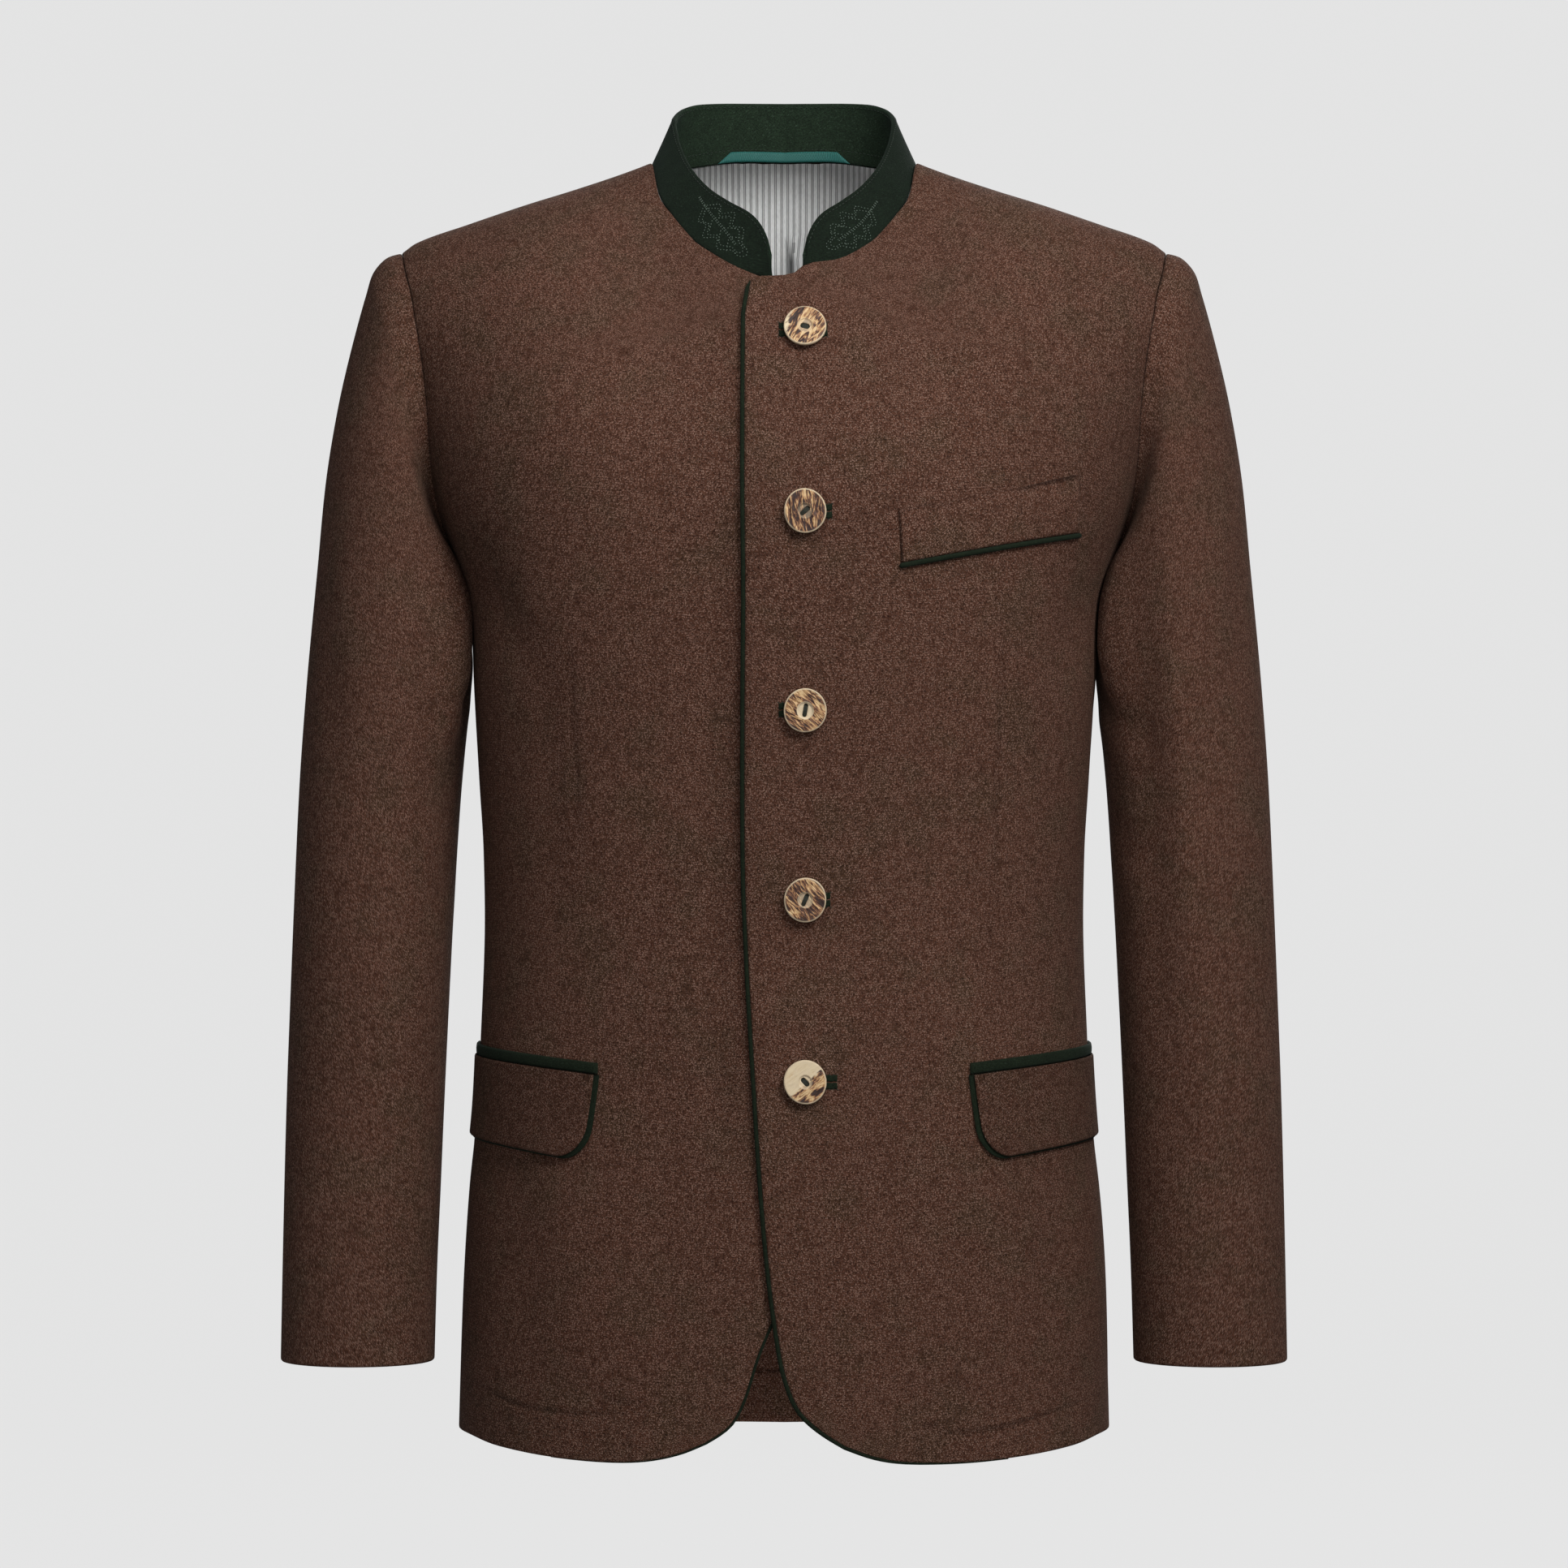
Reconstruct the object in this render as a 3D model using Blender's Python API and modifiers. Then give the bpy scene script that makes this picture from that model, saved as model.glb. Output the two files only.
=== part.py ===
"""Tyrolean loden jacket, buttoned and filled out, as hollow cloth walls sewn together.

Metres, +Z up. The front faces -Y and the wearer's left side is +X. The origin is where the
shoulders carry the jacket: between the two neck points, at the height of the shoulder seams.
"""

import math

import bmesh
import bpy
from mathutils import Matrix, Vector

# Walls and gaps
CLOTH = 0.0020          # loden, front, back and sleeves
COLLAR_CLOTH = 0.0030   # felted wool collar
POCKET_CLOTH = 0.0016   # welts and flaps
LINING_CLOTH = 0.0008   # lining, flap facings
SEAM_GAP = 0.0003
SLEEVE_SEAM_GAP = 0.0004
PATCH_GAP = 0.0006      # between a panel and a pocket laid on its curve
ARMHOLE_GAP = 0.0005

# Heights
HEM_SIDE = -0.7385
UNDERARM = -0.2360
SHOULDER_TURN = -0.200  # above this the walls round over towards the shoulder seam
SIDE_SEAM = math.radians(97)

# Roundness of the body's level section and of its upright section at the shoulder
BODY_POWER = 2.35
BACK_TURN_POWER = 3.6
NECK_TURN_POWER = 1.5
SHOULDER_TURN_POWER = 2.3
NECK_TURN_ENDS = 0.06
SHOULDER_TURN_STARTS = 0.16

# Closing: the wearer's left front lies on the right one
LAP_LIFT = 0.0045
LAP_FULL_TO = 0.052
LAP_ENDS = 0.090
LAP_TOP = (-0.075, -0.035)  # the lift fades out towards the side of the neck
PIPING_RADIUS = 0.0013

# Grid counts
SIDE_ROWS = 14
ARMHOLE_ROWS = 11
FRONT_EDGE_ROWS = 19
EDGE_BIAS = 1.5         # draws the rows together at the round corner of the hem
FRONT_COLUMNS = 10
BACK_SHOULDER_COLUMNS = 6
BACK_NECK_COLUMNS = 4
COLLAR_HALF_COLUMNS = 15
COLLAR_ROWS = 4
FRONT_SLEEVE_SEAM = 0   # armhole rows from the underarm to the sleeve's front seam
BACK_SLEEVE_SEAM = 5

# Buttons
BUTTON_X = 0.0117
BUTTON_HEIGHTS = (-0.107, -0.209, -0.320, -0.427, -0.530)
BUTTON_SLOT_TURNS = (-20, 40, 80, 60, -50)
BUTTON_RADIUS = 0.0122
BUTTON_THICK = 0.0048
BUTTON_WELL_RADIUS = 0.0041
BUTTON_WELL_DEPTH = 0.0011
BUTTON_WELL_SLOPE = 0.0004
BUTTON_RIM = (0.0009, 0.0011)   # across and down, where the top edge is rounded
BUTTON_FOOT = (0.0013, 0.0012)  # the same under the button
BUTTON_SLOT = (0.0072, 0.0024)
BUTTON_SIDES = 24

WOOL_BROWN = (0.070, 0.036, 0.024)
COLLAR_GREEN = (0.010, 0.026, 0.017)
LINING_GREY = (0.62, 0.61, 0.58)
LOOP_TEAL = (0.010, 0.120, 0.095)
HORN = (0.46, 0.31, 0.17)
WOOL_ROUGHNESS = 0.9
HORN_ROUGHNESS = 0.45


class Table:
    """Rows under named columns, read between the rows on curves that never overshoot them."""

    def __init__(self, columns, rows):
        self.columns = columns
        self.rows = sorted(rows)

    def read(self, column, at):
        place = self.columns.index(column)
        keys = [row[0] for row in self.rows]
        values = [row[place] for row in self.rows]
        if at <= keys[0]:
            return values[0]
        if at >= keys[-1]:
            return values[-1]
        right = next(i for i, key in enumerate(keys) if key > at)
        left = right - 1
        step = keys[right] - keys[left]
        share = (at - keys[left]) / step
        start = self.slope(keys, values, left) * step
        end = self.slope(keys, values, right) * step
        rise = values[right] - values[left]
        curve = start * share * (1 - share) ** 2 - end * share ** 2 * (1 - share)
        return values[left] + rise * share ** 2 * (3 - 2 * share) + curve

    @staticmethod
    def slope(keys, values, i):
        if i in (0, len(keys) - 1):
            return 0.0 if len(keys) < 3 else Table.end_slope(keys, values, i)
        before = (values[i] - values[i - 1]) / (keys[i] - keys[i - 1])
        after = (values[i + 1] - values[i]) / (keys[i + 1] - keys[i])
        return 0.0 if before * after <= 0 else 2 * before * after / (before + after)

    @staticmethod
    def end_slope(keys, values, i):
        near = 1 if i == 0 else i - 1
        return (values[near] - values[i]) / (keys[near] - keys[i])


TORSO = Table(
    ("height", "half_width", "front_depth", "back_depth"),
    [
        (-0.760, 0.1895, 0.141, 0.132),
        (-0.683, 0.1873, 0.140, 0.129),
        (-0.649, 0.1860, 0.139, 0.127),
        (-0.597, 0.1828, 0.137, 0.122),
        (-0.569, 0.1800, 0.136, 0.119),
        (-0.540, 0.1775, 0.134, 0.116),
        (-0.507, 0.1760, 0.132, 0.112),
        (-0.440, 0.1738, 0.129, 0.106),
        (-0.402, 0.1745, 0.130, 0.107),
        (-0.360, 0.1770, 0.132, 0.111),
        (-0.300, 0.1803, 0.136, 0.117),
        (-0.275, 0.1812, 0.137, 0.120),
        (-0.260, 0.1828, 0.138, 0.121),
        (-0.250, 0.1847, 0.138, 0.122),
        (-0.236, 0.1890, 0.138, 0.123),
        (-0.190, 0.2060, 0.137, 0.126),
        (-0.141, 0.2206, 0.135, 0.127),
        (-0.093, 0.2360, 0.132, 0.126),
        (-0.050, 0.2420, 0.130, 0.125),
        (0.000, 0.2450, 0.130, 0.125),
    ],
)

SHOULDER_LINE = Table(
    ("from_middle", "height"),
    [
        (0.000, 0.0220),
        (0.030, 0.0200),
        (0.055, 0.0112),
        (0.0774, 0.0005),
        (0.098, -0.0074),
        (0.126, -0.0170),
        (0.150, -0.0247),
        (0.184, -0.0361),
        (0.214, -0.0466),
        (0.2235, -0.0530),
        (0.250, -0.0640),
    ],
)

# Seen from the front: places on the front panels as (x, height)
ARMHOLE_FRONT = [(0.2010, -0.200), (0.2045, -0.160), (0.2080, -0.120), (0.2140, -0.085), (0.2190, -0.066)]
ARMHOLE_BACK = [(0.1940, -0.200), (0.1985, -0.160), (0.2040, -0.120), (0.2110, -0.085), (0.2180, -0.066)]
SHOULDER_TIP = 0.2235
SHOULDER_MIDDLE = 0.15
NECK_POINT = 0.0774
NECKLINE = [(0.0727, -0.0205), (0.0646, -0.034), (0.0546, -0.047), (0.0475, -0.0540), (0.0323, -0.0640)]
BACK_NECK_DEPTH = [(0.0765, 0.020), (0.0700, 0.042), (0.0550, 0.060), (0.0300, 0.0725), (0.0, 0.0765)]

LEFT_NECK_END = [(0.0148, -0.0665), (0.0080, -0.0685), (0.0030, -0.0725), (-0.0134, -0.0745)]
LEFT_EDGE = [
    (0.0340, -0.7338),
    (0.0235, -0.7272),
    (0.0150, -0.7206),
    (0.0085, -0.7135),
    (0.0040, -0.7045),
    (-0.0004, -0.6900),
    (-0.0040, -0.6690),
    (-0.0087, -0.6320),
    (-0.0129, -0.5820),
    (-0.0175, -0.5090),
    (-0.0202, -0.4590),
    (-0.0221, -0.4050),
    (-0.0222, -0.3180),
    (-0.0217, -0.2480),
    (-0.0223, -0.1400),
    (-0.0219, -0.0880),
    (-0.0205, -0.0795),
]
LEFT_HEM = [
    (0.1830, -0.7366),
    (0.1650, -0.7400),
    (0.1290, -0.7436),
    (0.0980, -0.7447),
    (0.0700, -0.7435),
    (0.0510, -0.7402),
]

RIGHT_NECK_END = [(0.0148, -0.0665), (0.0070, -0.0690), (-0.0100, -0.0720)]
RIGHT_EDGE = [
    (0.0440, -0.7330),
    (0.0350, -0.7260),
    (0.0290, -0.7210),
    (0.0243, -0.7120),
    (0.0205, -0.7020),
    (0.0160, -0.6870),
    (0.0110, -0.6740),
    (0.0065, -0.6640),
    (-0.0100, -0.6300),
    (-0.0270, -0.5800),
    (-0.0390, -0.5200),
    (-0.0415, -0.4600),
    (-0.0415, -0.3600),
    (-0.0415, -0.2400),
    (-0.0410, -0.1300),
    (-0.0380, -0.0850),
    (-0.0300, -0.0760),
]
RIGHT_HEM = [
    (0.1830, -0.7375),
    (0.1640, -0.7410),
    (0.1300, -0.7445),
    (0.0970, -0.7460),
    (0.0780, -0.7450),
    (0.0580, -0.7395),
]
BACK_HEM_MIDDLE = -0.7495

# The sleeve of the wearer's left, ring by ring: its outer and inner side seen from the front
SLEEVE = Table(
    ("along", "outer_x", "outer_z", "inner_x", "inner_z", "half_depth", "middle_y"),
    [
        (0.0, 0.2235, -0.0530, 0.1875, -0.2360, 0.0620, 0.006),
        (1.0, 0.2310, -0.0550, 0.1915, -0.2375, 0.0630, 0.006),
        (2.0, 0.2398, -0.0640, 0.1925, -0.2400, 0.0645, 0.006),
        (3.0, 0.2440, -0.0770, 0.1920, -0.2440, 0.0660, 0.006),
        (4.0, 0.2496, -0.0970, 0.1889, -0.2510, 0.0680, 0.006),
        (5.0, 0.2600, -0.1410, 0.1866, -0.2610, 0.0700, 0.006),
        (6.0, 0.2676, -0.1880, 0.1848, -0.2750, 0.0705, 0.006),
        (7.0, 0.2721, -0.2360, 0.1834, -0.2930, 0.0700, 0.005),
        (8.0, 0.2783, -0.3028, 0.1860, -0.3230, 0.0680, 0.004),
        (9.0, 0.2825, -0.3630, 0.1900, -0.3670, 0.0640, 0.002),
        (10.0, 0.2852, -0.4263, 0.1938, -0.4280, 0.0595, -0.001),
        (11.0, 0.2872, -0.4840, 0.1965, -0.4840, 0.0560, -0.005),
        (12.0, 0.2889, -0.5400, 0.1989, -0.5400, 0.0530, -0.010),
        (13.0, 0.2900, -0.5950, 0.2010, -0.5950, 0.0505, -0.015),
        (14.0, 0.2907, -0.6450, 0.2029, -0.6450, 0.0485, -0.020),
        (15.0, 0.2913, -0.6965, 0.2041, -0.6965, 0.0470, -0.025),
    ],
)
SLEEVE_HEAD_ENDS = 6.0
SLEEVE_RINGS = (0.0, 0.6, 1.4, 2.2, 3.1, 4.0, 5.0, 6.0, 7.0, 8.0, 9.0, 10.0, 11.0, 12.0, 13.0, 14.0, 15.0)

# Troughs that run down the cloth: where on the body or sleeve, from, to, width and depth
BODY_FOLDS = [
    (-0.118, -0.245, -0.400, 0.007, 0.0012),
    (0.118, -0.245, -0.500, 0.007, 0.0012),
]
SLEEVE_FOLDS = [
    ("left", 150, 5.5, 10.5, 16, 0.0030),
    ("left", 60, 9.0, 11.5, 24, 0.0014),
    ("right", 145, 6.0, 10.0, 15, 0.0018),
    ("right", 250, 8.0, 11.5, 26, 0.0022),
    ("left", 255, 8.0, 11.0, 26, 0.0022),
]

COLLAR_TOP = Table(
    ("share", "top_x", "top_y", "top_z"),
    [
        (0.000, 0.0118, -0.0862, -0.0600),
        (0.022, 0.0130, -0.0835, -0.0510),
        (0.050, 0.0160, -0.0785, -0.0425),
        (0.085, 0.0215, -0.0725, -0.0350),
        (0.150, 0.0325, -0.0625, -0.0270),
        (0.230, 0.0438, -0.0490, -0.0175),
        (0.310, 0.0525, -0.0330, -0.0065),
        (0.380, 0.0578, -0.0160, 0.0040),
        (0.460, 0.0620, 0.0040, 0.0170),
        (0.560, 0.0640, 0.0260, 0.0300),
        (0.660, 0.0610, 0.0440, 0.0370),
        (0.780, 0.0500, 0.0600, 0.0424),
        (0.880, 0.0300, 0.0715, 0.0443),
        (1.000, 0.0000, 0.0765, 0.0447),
    ],
)
COLLAR_LIFT_FRONT = 0.0050
COLLAR_LIFT_BACK = 0.0018
COLLAR_LIFT_FADE = 0.35

# Hip pockets, by the angle round the body and the height
FLAP_FRONT = 0.1061      # x of the flap's front edge
FLAP_BACK = math.radians(94)
WELT_TOP_FRONT = -0.5200
WELT_TOP_SIDE = -0.5125
WELT_RISE_POWER = 2.4
WELT_TALL = 0.0065
FLAP_TALL = 0.0465
FLAP_CORNER = 0.018
FLAP_ROUND = 0.8         # how much of a quarter circle the corner takes off the front edge
FLAP_SLANT = 0.004       # the front edge leans in this much from the welt to the lower edge
FLAP_COLUMNS = 9
FLAP_ROWS = (1.0, 0.9, 0.72, 0.45, 0.2, 0.0)
FLAP_BODY_RADIUS = 0.16
FLAP_EDGE_SHOWS = 0.0012

# Chest pocket, slanting up to the armhole
CHEST_WELT_X = (0.0652, 0.1668)
CHEST_WELT_LOW = (-0.2375, -0.2180)
CHEST_WELT_TALL = (0.0287, 0.0305)
CHEST_WELT_COLUMNS = 6
CHEST_WELT_ROWS = 3
CHEST_PIPING_STEPS = 8

# Half lining: the back's columns from its middle, the wearer's left first, and its lowest row
LINING_COLUMNS = (-9, -8, -7, -6, -5, -4, -3, -2, -1, -0.6, -0.36, -0.2, 0, 0.3, 1, 2, 3, 4, 5, 6, 7, 8, 9)
LINING_FIRST_ROW = 12
LINING_TRIM = 0.001
PLEAT_X = 0.0040
PLEAT_WIDE = 0.0045
PLEAT_DEEP = 0.0022
PLEAT_STARTS = -0.030
PLEAT_FADE = 0.03
LOOP_COLUMNS = (-2.7, -2, -1, 0, 1, 2, 2.7)
LOOP_LIFT = 0.0004
LOOP_TALL = 0.0058
LOOP_THICK = 0.0008


def smooth(share):
    share = min(1.0, max(0.0, share))
    return share * share * (3 - 2 * share)


def mix(a, b, share):
    return a + (b - a) * share


def rounded(angle, power):
    """The share across and the share deep of a rounded section, at an angle from its depth."""
    across = math.sin(angle)
    deep = math.cos(angle)
    reach = (abs(across) ** power + abs(deep) ** power) ** (1 / power)
    return across / reach, deep / reach


def rounded_angle(share, power):
    share = min(1.0, max(0.0, share))
    return math.atan2(share, (1 - share ** power) ** (1 / power))


def turn_power(x, back):
    """How round the upright section is where it turns over to the shoulder seam."""
    if back:
        return BACK_TURN_POWER
    share = (abs(x) - NECK_TURN_ENDS) / (SHOULDER_TURN_STARTS - NECK_TURN_ENDS)
    return mix(NECK_TURN_POWER, SHOULDER_TURN_POWER, smooth(share))


def torso_point(angle, level):
    """A place on the body: angle round it from the middle of the front, and its level."""
    across, deep = rounded(angle, BODY_POWER)
    x = TORSO.read("half_width", min(level, 0.0)) * across
    back = deep < 0
    depth = TORSO.read("back_depth" if back else "front_depth", min(level, 0.0))
    if level <= SHOULDER_TURN:
        return Vector((x, -depth * deep, level))
    turn = math.pi / 2 * (1 - level / SHOULDER_TURN)
    up, out = rounded(turn, turn_power(x, back))
    top = SHOULDER_LINE.read("height", abs(x))
    return Vector((x, -depth * deep * out, SHOULDER_TURN + (top - SHOULDER_TURN) * up))


def torso_normal(angle, level):
    step = 0.01
    across = torso_point(angle + step, level) - torso_point(angle - step, level)
    rise = torso_point(angle, level + step / 10) - torso_point(angle, level - step / 10)
    return across.cross(rise).normalized()


def place(x, height, back=False):
    """The angle and level of the place that shows at x and height from the front or the back."""
    level = height
    if height > SHOULDER_TURN:
        top = SHOULDER_LINE.read("height", abs(x))
        turn = rounded_angle((height - SHOULDER_TURN) / (top - SHOULDER_TURN), turn_power(x, back))
        level = SHOULDER_TURN * (1 - turn / (math.pi / 2))
    angle = rounded_angle(abs(x) / TORSO.read("half_width", level), BODY_POWER)
    angle = math.pi - angle if back else angle
    return (angle if x >= 0 else -angle, level)


def shoulder_place(x, back=False):
    return place(x, SHOULDER_LINE.read("height", x), back)


def place_by_depth(x, y):
    """The angle and level at x on the back where it is y behind the shoulder seam."""
    level = 0.0
    for _ in range(6):
        angle = math.pi - rounded_angle(x / TORSO.read("half_width", level), BODY_POWER)
        deep = -rounded(angle, BODY_POWER)[1] * TORSO.read("back_depth", level)
        up = (1 - min(1.0, y / deep) ** BACK_TURN_POWER) ** (1 / BACK_TURN_POWER)
        level = SHOULDER_TURN * (1 - rounded_angle(up, BACK_TURN_POWER) / (math.pi / 2))
    return angle, level


def spaced(points, count, bias=1.0):
    """Count + 1 places at even steps along a smooth line through points of any dimension."""
    size = len(points[0])
    fine = []
    for i in range(len(points) - 1):
        before = points[max(0, i - 1)]
        after = points[min(len(points) - 1, i + 2)]
        for k in range(12):
            t = k / 12
            fine.append([
                bend(before[c], points[i][c], points[i + 1][c], after[c], t) for c in range(size)
            ])
    fine.append(list(points[-1]))
    reach = [0.0]
    for a, b in zip(fine, fine[1:]):
        reach.append(reach[-1] + math.dist(a, b))
    result = []
    for k in range(count + 1):
        target = reach[-1] * (k / count) ** bias
        i = next((j for j in range(1, len(reach)) if reach[j] >= target - 1e-12), len(reach) - 1)
        share = (target - reach[i - 1]) / max(1e-12, reach[i] - reach[i - 1])
        result.append([mix(a, b, share) for a, b in zip(fine[i - 1], fine[i])])
    return result


def bend(before, start, end, after, t):
    return 0.5 * (
        2 * start
        + (end - before) * t
        + (2 * before - 5 * start + 4 * end - after) * t * t
        + (3 * start - before - 3 * end + after) * t ** 3
    )


def filled(left, right, bottom, top):
    """A grid of places between four sides, rows from bottom to top."""
    rows = len(left) - 1
    columns = len(bottom) - 1
    grid = []
    for j in range(rows + 1):
        v = j / rows
        row = []
        for i in range(columns + 1):
            u = i / columns
            place_here = []
            for c in range(2):
                across = mix(left[j][c], right[j][c], u) + mix(bottom[i][c], top[i][c], v)
                corners = mix(mix(left[0][c], right[0][c], u), mix(left[-1][c], right[-1][c], u), v)
                place_here.append(across - corners)
            row.append(tuple(place_here))
        grid.append(row)
    return grid


def on_sight(points, back=False):
    return [place(x, z, back) for x, z in points]


def side_edge(back):
    """Side seam from hem to underarm, then the armhole up to the shoulder tip."""
    seam = [(SIDE_SEAM, mix(HEM_SIDE, UNDERARM, j / SIDE_ROWS)) for j in range(SIDE_ROWS)]
    tip = shoulder_place(SHOULDER_TIP, back)
    armhole = [(SIDE_SEAM, UNDERARM)] + on_sight(ARMHOLE_BACK if back else ARMHOLE_FRONT, back) + [tip]
    return seam + spaced_on_body(armhole, ARMHOLE_ROWS)


def spaced_on_body(places, count, bias=1.0):
    """Like spaced, with the steps measured along the cloth instead of in angle and level."""
    guide = [(*torso_point(*p), *p) for p in places]
    scaled = [[*row[:3], row[3] * 1e-6, row[4] * 1e-6] for row in guide]
    result = spaced(scaled, count, bias)
    return [(row[3] * 1e6, row[4] * 1e6) for row in result]


def front_grid(edge, neck_end, hem):
    side = side_edge(False)
    neck_point = shoulder_place(NECK_POINT)
    opening = spaced_on_body(on_sight(edge + neck_end[-1:]), FRONT_EDGE_ROWS, EDGE_BIAS)
    neck_rows = len(side) - 1 - FRONT_EDGE_ROWS
    neckline = spaced_on_body(on_sight(neck_end[::-1] + NECKLINE[::-1]) + [neck_point], neck_rows)
    bottom = spaced_on_body([side[0]] + on_sight(hem + edge[:1]), FRONT_COLUMNS)
    top = spaced_on_body([side[-1], shoulder_place(SHOULDER_MIDDLE), neck_point], FRONT_COLUMNS)
    return filled(side, opening + neckline[1:], bottom, top)


def back_grid():
    side = side_edge(True)
    hem = [side[0], (math.radians(135), mix(HEM_SIDE, BACK_HEM_MIDDLE, 0.75)), (math.pi, BACK_HEM_MIDDLE)]
    half_columns = BACK_SHOULDER_COLUMNS + BACK_NECK_COLUMNS
    bottom = spaced_on_body(hem, half_columns)
    neck_point = shoulder_place(NECK_POINT, True)
    middle = shoulder_place(SHOULDER_MIDDLE, True)
    shoulder = spaced_on_body([side[-1], middle, neck_point], BACK_SHOULDER_COLUMNS)
    neck = [place_by_depth(x, y) for x, y in BACK_NECK_DEPTH]
    top = shoulder + spaced_on_body([neck_point] + neck, BACK_NECK_COLUMNS)[1:]
    return filled(side, mirrored(side), bottom + mirrored(bottom[-2::-1]), top + mirrored(top[-2::-1]))


def mirrored(edge):
    return [(2 * math.pi - angle, level) for angle, level in edge]


def lap(x, height):
    """How far the left front is lifted where it lies on the right one."""
    across = 1 - smooth((x - LAP_FULL_TO) / (LAP_ENDS - LAP_FULL_TO))
    return LAP_LIFT * across * (1 - smooth((height - LAP_TOP[0]) / (LAP_TOP[1] - LAP_TOP[0])))


def body_fold(x, height):
    sunk = 0.0
    for middle, high, low, width, depth in BODY_FOLDS:
        along = (height - low) / (high - low)
        if 0 < along < 1:
            sunk += depth * math.sin(math.pi * along) * math.exp(-((x - middle) / width) ** 2)
    return sunk


def body_wall(grid, side, lifted):
    """Points and normals of a body panel; side -1 mirrors the angle to the wearer's right."""
    points = []
    normals = []
    for row in grid:
        points.append([])
        normals.append([])
        for angle, level in row:
            point = torso_point(side * angle, level)
            normal = torso_normal(side * angle, level)
            rise = lap(point.x, point.z) if lifted else 0.0
            if normal.y < 0:
                rise -= body_fold(point.x, point.z)
            points[-1].append(point + normal * rise)
            normals[-1].append(normal)
    return points, normals


def sleeve_ring(along, angle, side):
    """A place on the sleeve: along it from the armhole, and round it from the outer side to the front."""
    read = lambda column: SLEEVE.read(column, along)
    outer = Vector((read("outer_x"), 0, read("outer_z")))
    inner = Vector((read("inner_x"), 0, read("inner_z")))
    middle = (outer + inner) / 2
    reach = (outer - inner) / 2
    sunk = 1.0
    for name, where, start, end, wide, depth in SLEEVE_FOLDS:
        share = (along - start) / (end - start)
        if name == ("left" if side > 0 else "right") and 0 < share < 1:
            apart = (math.degrees(angle) - where + 180) % 360 - 180
            sunk -= depth / 0.05 * math.sin(math.pi * share) * math.exp(-((apart / wide) ** 2))
    across = middle + reach * math.cos(angle) * sunk
    deep = read("middle_y") - read("half_depth") * math.sin(angle) * sunk
    return Vector((side * across.x, deep, across.z))


def sleeve_angles(front_edge, back_edge):
    """Angles of the sleeve's columns, from the underarm over the front and top to the underarm."""
    angles = []
    for edge, turn in ((front_edge, 1), (back_edge[::-1], -1)):
        reach = [0.0]
        for a, b in zip(edge, edge[1:]):
            reach.append(reach[-1] + (b - a).length)
        shares = [r / reach[-1] for r in reach]
        if turn == 1:
            angles += [math.pi * (1 - s) for s in shares]
        else:
            angles += [-math.pi * s for s in shares[1:]]
    return angles


def sleeve_walls(front_points, back_points, front_normals, back_normals, side):
    """Ring points and normals of the whole sleeve, its first ring on the armhole's own points."""
    seam = front_points + back_points[-2::-1]
    seam_normals = front_normals + back_normals[-2::-1]
    angles = sleeve_angles(front_points, back_points)

    def at(station, column):
        fade = (1 - smooth(station / SLEEVE_HEAD_ENDS)) if station < SLEEVE_HEAD_ENDS else 0.0
        base = sleeve_ring(station, angles[column], side)
        return base + (seam[column] - sleeve_ring(0.0, angles[column], side)) * fade

    points = [[at(s, c) for c in range(len(angles))] for s in SLEEVE_RINGS]
    normals = []
    last = len(angles) - 1
    for r, station in enumerate(SLEEVE_RINGS):
        low = max(0.0, station - 0.3)
        high = min(SLEEVE_RINGS[-1], station + 0.3)
        row = []
        for c in range(len(angles)):
            before = c - 1 if c > 0 else last - 1
            after = c + 1 if c < last else 1
            around = at(station, after) - at(station, before)
            down = at(high, c) - at(low, c)
            normal = down.cross(around).normalized()
            centre = (at(station, 0) + at(station, last // 2)) / 2
            row.append(normal if normal.dot(points[r][c] - centre) > 0 else -normal)
        normals.append(row)
    mitres = [(a + b) / (1 + a.dot(b)) for a, b in zip(normals[0], seam_normals)]
    normals[0] = mitres
    return points, normals, mitres


def pulled_in(points, edges, amount):
    """Draws the named edges of a grid in along the cloth, to leave the gap at a seam."""
    result = [row[:] for row in points]
    rows = len(points) - 1
    columns = len(points[0]) - 1
    for j in range(rows + 1):
        for i in range(columns + 1):
            moves = []
            if "bottom" in edges and j == 0:
                moves.append(points[1][i] - points[0][i])
            if "top" in edges and j == rows:
                moves.append(points[rows - 1][i] - points[rows][i])
            if "left" in edges and i == 0:
                moves.append(points[j][1] - points[j][0])
            if "right" in edges and i == columns:
                moves.append(points[j][columns - 1] - points[j][columns])
            for move in moves:
                result[j][i] = result[j][i] + move.normalized() * amount
    return result


def new_object(name, mesh, colour, roughness):
    material = bpy.data.materials.new(name)
    material.use_nodes = True
    shader = material.node_tree.nodes["Principled BSDF"]
    shader.inputs["Base Color"].default_value = (*colour, 1)
    shader.inputs["Roughness"].default_value = roughness
    shader.inputs["Metallic"].default_value = 0.0
    mesh.materials.append(material)
    mesh.shade_smooth()
    mesh.set_sharp_from_angle(angle=math.radians(40))
    obj = bpy.data.objects.new(name, mesh)
    parts.objects.link(obj)
    return obj


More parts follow.
